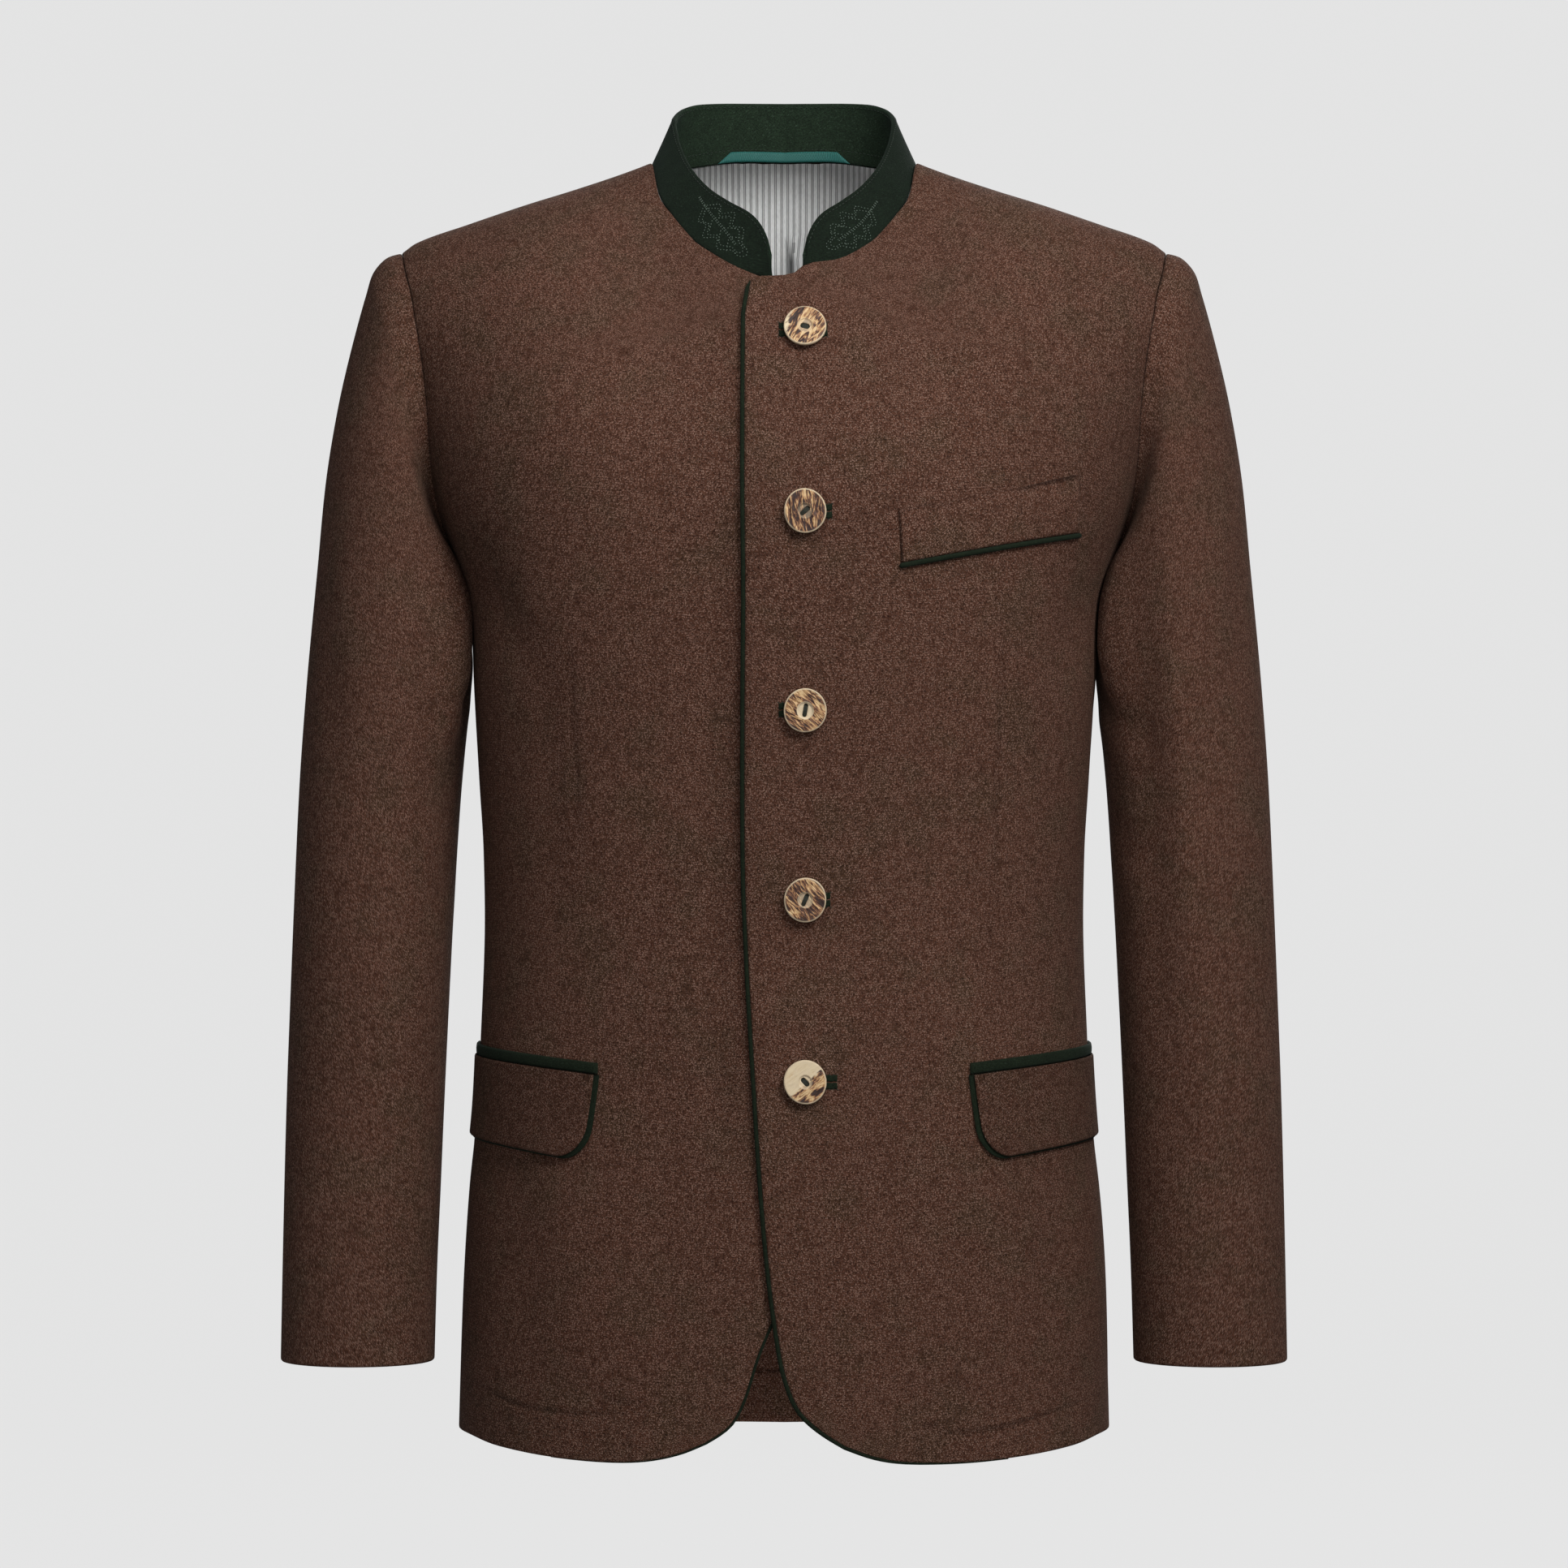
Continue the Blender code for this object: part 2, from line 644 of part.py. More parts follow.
def wall(name, points, normals, thickness, colour, mirror_column=None):
    """A closed wall of even thickness on a grid of points, with rims at its four edges.

    The faces' diagonals run the other way past mirror_column, so a mirrored panel stays so.
    """
    rows = len(points)
    columns = len(points[0])
    shape = bmesh.new()
    faces_out = []
    for sign in (1, -1):
        for j in range(rows):
            for i in range(columns):
                faces_out.append(shape.verts.new(points[j][i] + normals[j][i] * sign * thickness / 2))
    outer = lambda j, i: faces_out[j * columns + i]
    inner = lambda j, i: faces_out[(rows + j) * columns + i]
    for j in range(rows - 1):
        for i in range(columns - 1):
            corners = [(j, i), (j, i + 1), (j + 1, i + 1), (j + 1, i)]
            if mirror_column is not None and i < mirror_column:
                corners = corners[1:] + corners[:1]
            a, b, c, d = corners
            shape.faces.new((outer(*a), outer(*b), outer(*c)))
            shape.faces.new((outer(*a), outer(*c), outer(*d)))
            shape.faces.new((inner(*a), inner(*c), inner(*b)))
            shape.faces.new((inner(*a), inner(*d), inner(*c)))
    border = [(0, i) for i in range(columns)] + [(j, columns - 1) for j in range(1, rows)]
    border += [(rows - 1, i) for i in range(columns - 2, -1, -1)] + [(j, 0) for j in range(rows - 2, 0, -1)]
    for a, b in zip(border, border[1:] + border[:1]):
        shape.faces.new((outer(*b), outer(*a), inner(*a), inner(*b)))
    if shape.calc_volume(signed=True) < 0:
        bmesh.ops.reverse_faces(shape, faces=shape.faces)
    mesh = bpy.data.meshes.new(name)
    shape.to_mesh(mesh)
    shape.free()
    return new_object(name, mesh, colour, WOOL_ROUGHNESS)


def cord(name, points, radius, colour):
    """A piping: a round cord along points."""
    curve = bpy.data.curves.new(name, "CURVE")
    curve.dimensions = "3D"
    curve.bevel_depth = radius
    curve.bevel_resolution = 1
    curve.use_fill_caps = True
    spline = curve.splines.new("POLY")
    spline.points.add(len(points) - 1)
    for target, point in zip(spline.points, points):
        target.co = (*point, 1)
    guide = bpy.data.objects.new(name, curve)
    bpy.context.scene.collection.objects.link(guide)
    evaluated = guide.evaluated_get(bpy.context.evaluated_depsgraph_get())
    mesh = bpy.data.meshes.new_from_object(evaluated)
    bpy.data.objects.remove(guide)
    shape = bmesh.new()
    shape.from_mesh(mesh)
    bmesh.ops.remove_doubles(shape, verts=shape.verts, dist=0.00001)
    if shape.calc_volume(signed=True) < 0:
        bmesh.ops.reverse_faces(shape, faces=shape.faces)
    shape.to_mesh(mesh)
    shape.free()
    return new_object(name, mesh, colour, WOOL_ROUGHNESS)


def edge_piping(name, points, normals, neck_row):
    """Cord along the opening edge of a front: outside its right-hand column of points."""
    edge = [row[-1] for row in points]
    route = []
    for j in range(1, neck_row + 1):
        inside = points[j][-2] - edge[j]
        before = (edge[j] - edge[j - 1]).normalized()
        after = (edge[j + 1] - edge[j]).normalized() if j < neck_row else before
        out = (before + after).cross(normals[j][-1]).normalized()
        out = -out if out.dot(inside) > 0 else out
        corner = math.sqrt((1 + before.dot(after)) / 2)
        route.append(tuple(edge[j] + out * (PIPING_RADIUS + SEAM_GAP) / corner))
    return cord(name, route, PIPING_RADIUS, COLLAR_GREEN)


def body_patch(name, places, side, lift, thickness, colour, lifted):
    """A wall laid on a body panel: a grid of places, moved out by lift from the panel's middle."""
    points, normals = body_wall(places, side, lifted)
    moved = [[p + n * lift for p, n in zip(row, row_normals)] for row, row_normals in zip(points, normals)]
    return wall(name, moved, normals, thickness, colour)


def welt_edge(share):
    """Height of the hip welt's top edge, from its front end to the side."""
    return mix(WELT_TOP_SIDE, WELT_TOP_FRONT, (1 - share) ** WELT_RISE_POWER)


def hip_pocket(side, tag):
    start = place(FLAP_FRONT, WELT_TOP_FRONT)[0]
    shares = [i / FLAP_COLUMNS for i in range(FLAP_COLUMNS + 1)]
    angles = [mix(start, FLAP_BACK, share) for share in shares]
    on_cloth = CLOTH / 2 + PATCH_GAP
    welt = [
        [(angle, welt_edge(share) - down) for angle, share in zip(angles, shares)]
        for down in (WELT_TALL, 0.0)
    ]
    welt_lift = on_cloth + POCKET_CLOTH / 2
    body_patch("pocket_welt_" + tag, welt, side, welt_lift, POCKET_CLOTH, COLLAR_GREEN, False)
    layers = (
        ("flap_facing_", LINING_CLOTH, on_cloth, FLAP_EDGE_SHOWS, COLLAR_GREEN),
        ("pocket_flap_", POCKET_CLOTH, on_cloth + LINING_CLOTH + SEAM_GAP, 0.0, WOOL_BROWN),
    )
    for name, thickness, base, grow, colour in layers:
        rows = []
        for down in FLAP_ROWS:
            row = []
            reach = (FLAP_TALL + grow) * down
            corner = max(0.0, reach - (FLAP_TALL + grow - FLAP_CORNER)) / FLAP_CORNER
            inset = FLAP_CORNER * (1 - math.sqrt(max(0.0, 1 - corner ** 2))) * FLAP_ROUND
            inset += FLAP_SLANT * down - grow
            for i, (angle, share) in enumerate(zip(angles, shares)):
                front_share = (1 - share) ** 2
                moved = angle + inset / FLAP_BODY_RADIUS * front_share
                row.append((moved, welt_edge(share) - WELT_TALL - SEAM_GAP - reach))
            rows.append(row)
        body_patch(name + tag, rows, side, base + thickness / 2, thickness, colour, False)


def chest_pocket():
    places = []
    for j in range(CHEST_WELT_ROWS + 1):
        row = []
        for i in range(CHEST_WELT_COLUMNS + 1):
            share = i / CHEST_WELT_COLUMNS
            x = mix(*CHEST_WELT_X, share)
            low = mix(*CHEST_WELT_LOW, share)
            row.append(place(x, low + mix(*CHEST_WELT_TALL, share) * j / CHEST_WELT_ROWS))
        places.append(row)
    lift = CLOTH / 2 + PATCH_GAP + POCKET_CLOTH / 2
    body_patch("chest_welt", places, 1, lift, POCKET_CLOTH, WOOL_BROWN, True)
    route = []
    for i in range(CHEST_PIPING_STEPS + 1):
        share = i / CHEST_PIPING_STEPS
        x = mix(*CHEST_WELT_X, share)
        low = mix(*CHEST_WELT_LOW, share) - PIPING_RADIUS - SEAM_GAP
        angle, level = place(x, low)
        normal = torso_normal(angle, level)
        out = CLOTH / 2 + PATCH_GAP + PIPING_RADIUS + lap(x, low)
        route.append(tuple(torso_point(angle, level) + normal * out))
    cord("chest_piping", route, PIPING_RADIUS, COLLAR_GREEN)


def neckline_half():
    """The neckline on the wearer's left, from the collar's front end to the middle of the back."""
    front = on_sight([LEFT_NECK_END[0]] + NECKLINE[::-1])
    front.append(shoulder_place(NECK_POINT))
    behind = [place_by_depth(x, y) for x, y in BACK_NECK_DEPTH]
    return [torso_point(*p) for p in front] + [torso_point(*p) for p in behind]


def collar_points():
    seam = [Vector(p) for p in spaced([tuple(p) for p in neckline_half()], COLLAR_HALF_COLUMNS)]
    half = []
    for i, low in enumerate(seam):
        share = i / COLLAR_HALF_COLUMNS
        top = Vector([COLLAR_TOP.read(column, share) for column in ("top_x", "top_y", "top_z")])
        up = (top - low).normalized()
        lift = mix(COLLAR_LIFT_FRONT, COLLAR_LIFT_BACK, smooth(share / COLLAR_LIFT_FADE))
        start = low + up * lift
        half.append([start.lerp(top, j / COLLAR_ROWS) for j in range(COLLAR_ROWS + 1)])
    return half + [[Vector((-p.x, p.y, p.z)) for p in column] for column in half[-2::-1]]


def grid_normals(points):
    """Normals of a grid from its neighbours, pointing away from the upright axis."""
    rows = len(points)
    columns = len(points[0])
    normals = []
    for j in range(rows):
        row = []
        for i in range(columns):
            across = points[j][min(i + 1, columns - 1)] - points[j][max(i - 1, 0)]
            rise = points[min(j + 1, rows - 1)][i] - points[max(j - 1, 0)][i]
            normal = across.cross(rise).normalized()
            outward = Vector((points[j][i].x, points[j][i].y, 0))
            row.append(normal if normal.dot(outward) > 0 else -normal)
        normals.append(row)
    return normals


def collar():
    columns = collar_points()
    points = [[column[j] for column in columns] for j in range(COLLAR_ROWS + 1)]
    normals = grid_normals(points)
    wall("collar", points, normals, COLLAR_CLOTH, COLLAR_GREEN, COLLAR_HALF_COLUMNS)
    middle = len(columns) // 2
    inward = COLLAR_CLOTH / 2 + SEAM_GAP + LOOP_THICK / 2
    loop = [[], []]
    directions = [[], []]
    for column in LOOP_COLUMNS:
        i = math.floor(middle + column)
        share = middle + column - i
        low = points[0][i].lerp(points[0][i + 1], share)
        high = points[-1][i].lerp(points[-1][i + 1], share)
        normal = normals[0][i].lerp(normals[0][i + 1], share).normalized()
        for j in range(2):
            rise = (high - low).normalized() * (LOOP_LIFT + LOOP_TALL * j)
            loop[j].append(low + rise - normal * inward)
            directions[j].append(normal)
    wall("hanger_loop", loop, directions, LOOP_THICK, LOOP_TEAL)


def lining(points, normals):
    """Half lining inside the upper back, on the back's own points, with a pleat near its middle."""
    inward = CLOTH / 2 + PATCH_GAP + LINING_CLOTH / 2
    middle = (len(points[0]) - 1) // 2
    rows = []
    directions = []
    for point_row, normal_row in list(zip(points, normals))[LINING_FIRST_ROW:]:
        rows.append([])
        directions.append([])
        for column in LINING_COLUMNS:
            i = min(len(point_row) - 2, int(middle + column))
            share = middle + column - i
            point = point_row[i].lerp(point_row[i + 1], share)
            normal = normal_row[i].lerp(normal_row[i + 1], share).normalized()
            pleat = math.exp(-(((point.x - PLEAT_X) / PLEAT_WIDE) ** 2))
            starts = smooth((PLEAT_STARTS - point.z) / PLEAT_FADE)
            rows[-1].append(point - normal * (inward + PLEAT_DEEP * pleat * starts))
            directions[-1].append(normal)
    trimmed = pulled_in(rows, ("top",), LINING_TRIM)
    wall("back_lining", trimmed, directions, LINING_CLOTH, LINING_GREY, LINING_COLUMNS.index(0))


def button(index, height, turn):
    angle, level = place(BUTTON_X, height)
    normal = torso_normal(angle, level)
    lift = LAP_LIFT + CLOTH / 2 + 2 * SEAM_GAP
    seat = torso_point(angle, level) + normal * lift
    profile = [
        (0.0, BUTTON_THICK - BUTTON_WELL_DEPTH),
        (BUTTON_WELL_RADIUS - BUTTON_WELL_SLOPE, BUTTON_THICK - BUTTON_WELL_DEPTH),
        (BUTTON_WELL_RADIUS, BUTTON_THICK),
        (BUTTON_RADIUS - BUTTON_RIM[0], BUTTON_THICK),
        (BUTTON_RADIUS, BUTTON_THICK - BUTTON_RIM[1]),
        (BUTTON_RADIUS, BUTTON_FOOT[1]),
        (BUTTON_RADIUS - BUTTON_FOOT[0], 0.0),
        (0.0, 0.0),
    ]
    name = "button_%d" % index
    mesh = bpy.data.meshes.new(name)
    mesh.from_pydata([(r, 0, z) for r, z in profile], [(i, i + 1) for i in range(len(profile) - 1)], [])
    obj = new_object(name, mesh, HORN, HORN_ROUGHNESS)
    spin = obj.modifiers.new("turned", "SCREW")
    spin.axis = "Z"
    spin.steps = BUTTON_SIDES
    spin.render_steps = BUTTON_SIDES
    spin.use_merge_vertices = True
    spin.merge_threshold = 0.00001
    spin.use_smooth_shade = True
    tool = bpy.data.meshes.new(name + "_slot")
    shape = bmesh.new()
    size = Matrix.Diagonal((BUTTON_SLOT[0], BUTTON_SLOT[1], BUTTON_THICK * 4, 1))
    bmesh.ops.create_cube(shape, size=1, matrix=size)
    upright = [e for e in shape.edges if abs(e.verts[0].co.z - e.verts[1].co.z) > BUTTON_THICK]
    bmesh.ops.bevel(shape, geom=upright, offset=BUTTON_SLOT[1] * 0.45, segments=3, affect="EDGES")
    shape.to_mesh(tool)
    shape.free()
    slot = bpy.data.objects.new(name + "_slot", tool)
    slot.hide_render = True
    slot.display_type = "WIRE"
    cutters.objects.link(slot)
    cut = obj.modifiers.new("slot", "BOOLEAN")
    cut.object = slot
    across = (Vector((1, 0, 0)) - normal * normal.x).normalized()
    upward = normal.cross(across)
    stand = Matrix((across, upward, normal)).transposed().to_4x4()
    where = Matrix.Translation(seat) @ stand @ Matrix.Rotation(math.radians(turn), 4, "Z")
    obj.matrix_world = where
    slot.matrix_world = where


def half_sleeves(side, tag, front_side, back_side):
    """Top and under sleeve of one arm, cut from the whole sleeve at its front and back seams."""
    points, normals, mitres = sleeve_walls(*front_side, *back_side, side)
    columns = len(points[0])
    first = FRONT_SLEEVE_SEAM
    last = columns - 1 - BACK_SLEEVE_SEAM
    top = [row[first:last + 1] for row in points], [row[first:last + 1] for row in normals]
    around = list(range(last, columns - 1)) + list(range(0, first + 1))
    under = [[row[c] for c in around] for row in points], [[row[c] for c in around] for row in normals]
    for name, (grid, directions) in (("sleeve_%s_top" % tag, top), ("sleeve_%s_under" % tag, under)):
        grid = pulled_in(grid, ("left", "right"), SLEEVE_SEAM_GAP)
        grid = pulled_in(grid, ("bottom",), ARMHOLE_GAP)
        wall(name, grid, directions, CLOTH, WOOL_BROWN)
    return mitres


def seam_sides(points, normals, column):
    """The armhole stretch of a body panel's edge column: its points and normals."""
    return [row[column] for row in points[SIDE_ROWS:]], [row[column] for row in normals[SIDE_ROWS:]]


def use_mitres(normals, column, mitres):
    for j, mitre in enumerate(mitres):
        normals[SIDE_ROWS + j][column] = mitre


def body_and_sleeves():
    left = body_wall(front_grid(LEFT_EDGE, LEFT_NECK_END, LEFT_HEM), 1, True)
    right = body_wall(front_grid(RIGHT_EDGE, RIGHT_NECK_END, RIGHT_HEM), -1, False)
    back = body_wall(back_grid(), 1, False)
    for (front, side, tag, column) in ((left, 1, "left", 0), (right, -1, "right", -1)):
        front_points, front_normals = seam_sides(*front, 0)
        back_points, back_normals = seam_sides(*back, column)
        mitres = half_sleeves(side, tag, (front_points, back_points), (front_normals, back_normals))
        count = len(front_points)
        use_mitres(front[1], 0, mitres[:count])
        use_mitres(back[1], column, mitres[:count - 2:-1])
    lining(*back)
    seams = ("left", "top")
    wall("front_left", pulled_in(left[0], seams, SEAM_GAP), left[1], CLOTH, WOOL_BROWN)
    wall("front_right", pulled_in(right[0], seams, SEAM_GAP), right[1], CLOTH, WOOL_BROWN)
    back_middle = BACK_SHOULDER_COLUMNS + BACK_NECK_COLUMNS
    back_points = pulled_in(back[0], ("left", "right", "top"), SEAM_GAP)
    wall("back", back_points, back[1], CLOTH, WOOL_BROWN, back_middle)
    edge_piping("front_piping_left", *left, FRONT_EDGE_ROWS)
    edge_piping("front_piping_right", *right, FRONT_EDGE_ROWS)


for old in list(bpy.data.objects):
    bpy.data.objects.remove(old)
parts = bpy.data.collections.new("tyrolean_loden_jacket")
cutters = bpy.data.collections.new("cutters")
bpy.context.scene.collection.children.link(parts)
bpy.context.scene.collection.children.link(cutters)

body_and_sleeves()
collar()
chest_pocket()
hip_pocket(1, "left")
hip_pocket(-1, "right")
for number, (button_height, slot_turn) in enumerate(zip(BUTTON_HEIGHTS, BUTTON_SLOT_TURNS), 1):
    button(number, button_height, slot_turn)
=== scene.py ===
import math
import bpy
import numpy as np
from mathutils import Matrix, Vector, noise


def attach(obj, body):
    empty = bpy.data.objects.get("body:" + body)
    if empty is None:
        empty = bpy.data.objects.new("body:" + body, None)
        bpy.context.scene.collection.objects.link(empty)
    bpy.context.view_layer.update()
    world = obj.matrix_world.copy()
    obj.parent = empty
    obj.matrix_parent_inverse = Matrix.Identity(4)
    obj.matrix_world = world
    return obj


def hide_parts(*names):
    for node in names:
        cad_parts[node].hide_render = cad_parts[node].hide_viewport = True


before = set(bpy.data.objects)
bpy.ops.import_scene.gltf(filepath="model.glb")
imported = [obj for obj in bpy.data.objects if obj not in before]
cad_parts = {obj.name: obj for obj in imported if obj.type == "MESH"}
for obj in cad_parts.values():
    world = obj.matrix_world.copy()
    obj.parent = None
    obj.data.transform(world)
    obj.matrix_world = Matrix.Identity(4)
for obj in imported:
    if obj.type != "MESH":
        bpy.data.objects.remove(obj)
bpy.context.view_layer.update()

print("frame loaded:", len(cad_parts), "nodes")

# sizes shared by several pieces, in metres
cloth = {
    "loden": 0.0020,
    "collar": 0.0030,
    "pocket": 0.0016,
    "thin": 0.0008,
    "seamGap": 0.0003,
    "patchGap": 0.0005,
    "armholeGap": 0.0004,
    "seamPull": 0.00006,   # how far each side of a seam is pulled back from it
    "roll": 0.0016,        # how far in from an edge the cloth begins to turn over
    "turn": 0.42,          # how far it turns there, in shares of the thickness
    "seamPaintedShade": 0.75,
    "seamWide": 0.0010,
    "pipingRadius": 0.00135,
}
bodyForm = {
    "hemSide": -0.7385,
    "backHemMiddle": -0.7495,
    "underarm": -0.2360,
    "shoulderTurn": -0.200,
    "sideSeam": math.radians(97),
    "power": 2.35,
    "backTurn": 3.6,
    "neckTurn": 1.5,
    "frontTurn": 2.3,
    "turnBlend": (0.06, 0.16),
    "shoulderTip": 0.2235,
    "shoulderMiddle": 0.15,
    "neckPoint": 0.0774,
}
# shares of a panel's height, from the hem to the shoulder
rowsAt = {"underarm": 14 / 25, "backSleeveSeam": 19 / 25, "neckCorner": 19 / 25, "shoulderEnds": 0.6}


class Table:  # rows under named columns, read on curves that never overshoot them
    def __init__(self, columns, rows):
        rows = np.array(sorted(rows), float)
        self.keys = rows[:, 0]
        self.values = dict(zip(columns, rows.T))

    def read(self, column, at):
        keys, values = self.keys, self.values[column]
        rise = np.diff(values) / np.diff(keys)
        both = rise[:-1] * rise[1:] > 0
        total = np.where(both, rise[:-1] + rise[1:], 1.0)
        middle = np.where(both, 2 * rise[:-1] * rise[1:] / total, 0.0)
        slopes = np.concatenate([rise[:1], middle, rise[-1:]])
        at = np.clip(at, keys[0], keys[-1])
        left = np.clip(np.searchsorted(keys, at, side="right") - 1, 0, len(keys) - 2)
        step = keys[left + 1] - keys[left]
        share = (at - keys[left]) / step
        climb = values[left + 1] - values[left]
        bow = slopes[left] * (1 - share) - slopes[left + 1] * share
        return values[left] + climb * smooth(share) + bow * step * share * (1 - share)


torso = Table(("height", "halfWidth", "frontDepth", "backDepth"), [
    (-0.760, 0.1895, 0.141, 0.132),
    (-0.683, 0.1873, 0.140, 0.129),
    (-0.649, 0.1860, 0.139, 0.127),
    (-0.597, 0.1828, 0.137, 0.122),
    (-0.569, 0.1800, 0.136, 0.119),
    (-0.540, 0.1775, 0.134, 0.116),
    (-0.507, 0.1760, 0.132, 0.112),
    (-0.440, 0.1738, 0.129, 0.106),
    (-0.402, 0.1745, 0.130, 0.107),
    (-0.360, 0.1770, 0.132, 0.111),
    (-0.300, 0.1803, 0.136, 0.117),
    (-0.275, 0.1812, 0.137, 0.120),
    (-0.260, 0.1828, 0.138, 0.121),
    (-0.250, 0.1847, 0.138, 0.122),
    (-0.236, 0.1890, 0.138, 0.123),
    (-0.190, 0.2060, 0.137, 0.126),
    (-0.141, 0.2206, 0.135, 0.127),
    (-0.093, 0.2360, 0.132, 0.126),
    (-0.050, 0.2420, 0.130, 0.125),
    (0.000, 0.2450, 0.130, 0.125),
])
shoulderLine = Table(("fromMiddle", "height"), [
    (0.000, 0.0220), (0.030, 0.0200), (0.055, 0.0112), (0.0774, 0.0005), (0.098, -0.0074), (0.126, -0.0170),
    (0.150, -0.0247), (0.184, -0.0361), (0.214, -0.0466), (0.2235, -0.0530), (0.250, -0.0640),
])

# places seen from the front, as (x, height)
armholeFront = [(0.2010, -0.200), (0.2045, -0.160), (0.2080, -0.120), (0.2140, -0.085), (0.2190, -0.066)]
armholeBack = [(0.1940, -0.200), (0.1985, -0.160), (0.2040, -0.120), (0.2110, -0.085), (0.2180, -0.066)]
neckline = [(0.0727, -0.0205), (0.0646, -0.034), (0.0546, -0.047), (0.0475, -0.0540), (0.0323, -0.0640)]
backNeckDepth = [(0.0765, 0.020), (0.0700, 0.042), (0.0550, 0.060), (0.0300, 0.0725), (0.0, 0.0765)]

leftFront = {
    "neckEnd": [(0.0148, -0.0672), (0.0080, -0.0708), (0.0030, -0.0745), (-0.0134, -0.0753)],
    "edge": [
        (0.0340, -0.7338), (0.0235, -0.7272), (0.0150, -0.7206), (0.0085, -0.7135), (0.0040, -0.7045),
        (-0.0004, -0.6900), (-0.0040, -0.6690), (-0.0087, -0.6320), (-0.0129, -0.5820), (-0.0175, -0.5090),
        (-0.0202, -0.4590), (-0.0221, -0.4050), (-0.0222, -0.3180), (-0.0217, -0.2480), (-0.0223, -0.1400),
        (-0.0219, -0.0880), (-0.0205, -0.0795),
    ],
    "hem": [
        (0.1830, -0.7366), (0.1650, -0.7400), (0.1290, -0.7436), (0.0980, -0.7447), (0.0700, -0.7435),
        (0.0510, -0.7402),
    ],
}
rightFront = {
    "neckEnd": [(0.0148, -0.0722), (0.0070, -0.0743), (-0.0100, -0.0752)],
    "edge": [
        (0.0440, -0.7322), (0.0355, -0.7268), (0.0292, -0.7210), (0.0245, -0.7125), (0.0205, -0.7020),
        (0.0160, -0.6870), (0.0110, -0.6740), (0.0065, -0.6640), (-0.0100, -0.6300), (-0.0270, -0.5800),
        (-0.0390, -0.5200), (-0.0415, -0.4600), (-0.0415, -0.3600), (-0.0415, -0.2400), (-0.0410, -0.1300),
        (-0.0380, -0.0850), (-0.0300, -0.0760),
    ],
    "hem": [
        (0.1830, -0.7366), (0.1640, -0.7400), (0.1300, -0.7434), (0.1000, -0.7444), (0.0780, -0.7430),
        (0.0590, -0.7386),
    ],
}
# the left front on the right one
lap = {"lift": 0.0045, "fullTo": 0.052, "ends": 0.090, "top": (-0.075, -0.035)}


# the form of the body
def joined(*parts):  # points or places from their coordinates
    return np.stack(np.broadcast_arrays(*parts), axis=-1)


def smooth(share):
    share = np.clip(share, 0.0, 1.0)
    return share * share * (3 - 2 * share)


def mix(a, b, share):
    return a + (b - a) * share


def rounded(angle, power):
    across, deep = np.sin(angle), np.cos(angle)
    reach = (np.abs(across) ** power + np.abs(deep) ** power) ** (1 / power)
    return across / reach, deep / reach


def roundedAngle(share, power):
    share = np.clip(share, 0.0, 1.0)
    return np.arctan2(share, (1 - share ** power) ** (1 / power))


def turnPower(x, back):
    start, end = bodyForm["turnBlend"]
    front = mix(bodyForm["neckTurn"], bodyForm["frontTurn"], smooth((np.abs(x) - start) / (end - start)))
    return np.where(back, bodyForm["backTurn"], front)


def torsoPoint(angle, level):
    angle, level = np.broadcast_arrays(np.asarray(angle, float), np.asarray(level, float))
    across, deep = rounded(angle, bodyForm["power"])
    low = np.minimum(level, 0.0)
    x = torso.read("halfWidth", low) * across
    back = deep < 0
    depth = np.where(back, torso.read("backDepth", low), torso.read("frontDepth", low))
    turnAt = bodyForm["shoulderTurn"]
    turn = math.pi / 2 * np.clip(1 - level / turnAt, 0, None)
    up, out = rounded(turn, turnPower(x, back))
    top = shoulderLine.read("height", np.abs(x))
    turned = level > turnAt
    z = np.where(turned, turnAt + (top - turnAt) * up, level)
    y = -depth * deep * np.where(turned, out, 1.0)
    return joined(x, y, z)


def unit(vectors):
    return vectors / np.maximum(np.linalg.norm(vectors, axis=-1, keepdims=True), 1e-12)


def torsoNormal(angle, level, step=0.01):
    around = torsoPoint(angle + step, level) - torsoPoint(angle - step, level)
    rise = torsoPoint(angle, level + step / 10) - torsoPoint(angle, level - step / 10)
    return unit(np.cross(around, rise))


def placeOn(x, height, back=False):
    x, height = np.asarray(x, float), np.asarray(height, float)
    turnAt = bodyForm["shoulderTurn"]
    top = shoulderLine.read("height", np.abs(x))
    turn = roundedAngle((height - turnAt) / (top - turnAt), turnPower(x, back))
    level = np.where(height > turnAt, turnAt * (1 - turn / (math.pi / 2)), height)
    angle = roundedAngle(np.abs(x) / torso.read("halfWidth", level), bodyForm["power"])
    angle = math.pi - angle if back else angle
    return joined(np.where(x >= 0, angle, -angle), level)


def shoulderPlace(x, back=False):
    return placeOn(x, shoulderLine.read("height", x), back)


def placeByDepth(x, y):
    level = 0.0
    power = bodyForm["backTurn"]
    for _ in range(6):
        angle = math.pi - roundedAngle(x / torso.read("halfWidth", level), bodyForm["power"])
        deep = -rounded(angle, bodyForm["power"])[1] * torso.read("backDepth", level)
        up = (1 - min(1.0, y / deep) ** power) ** (1 / power)
        level = bodyForm["shoulderTurn"] * (1 - roundedAngle(up, power) / (math.pi / 2))
    return np.array([angle, level])


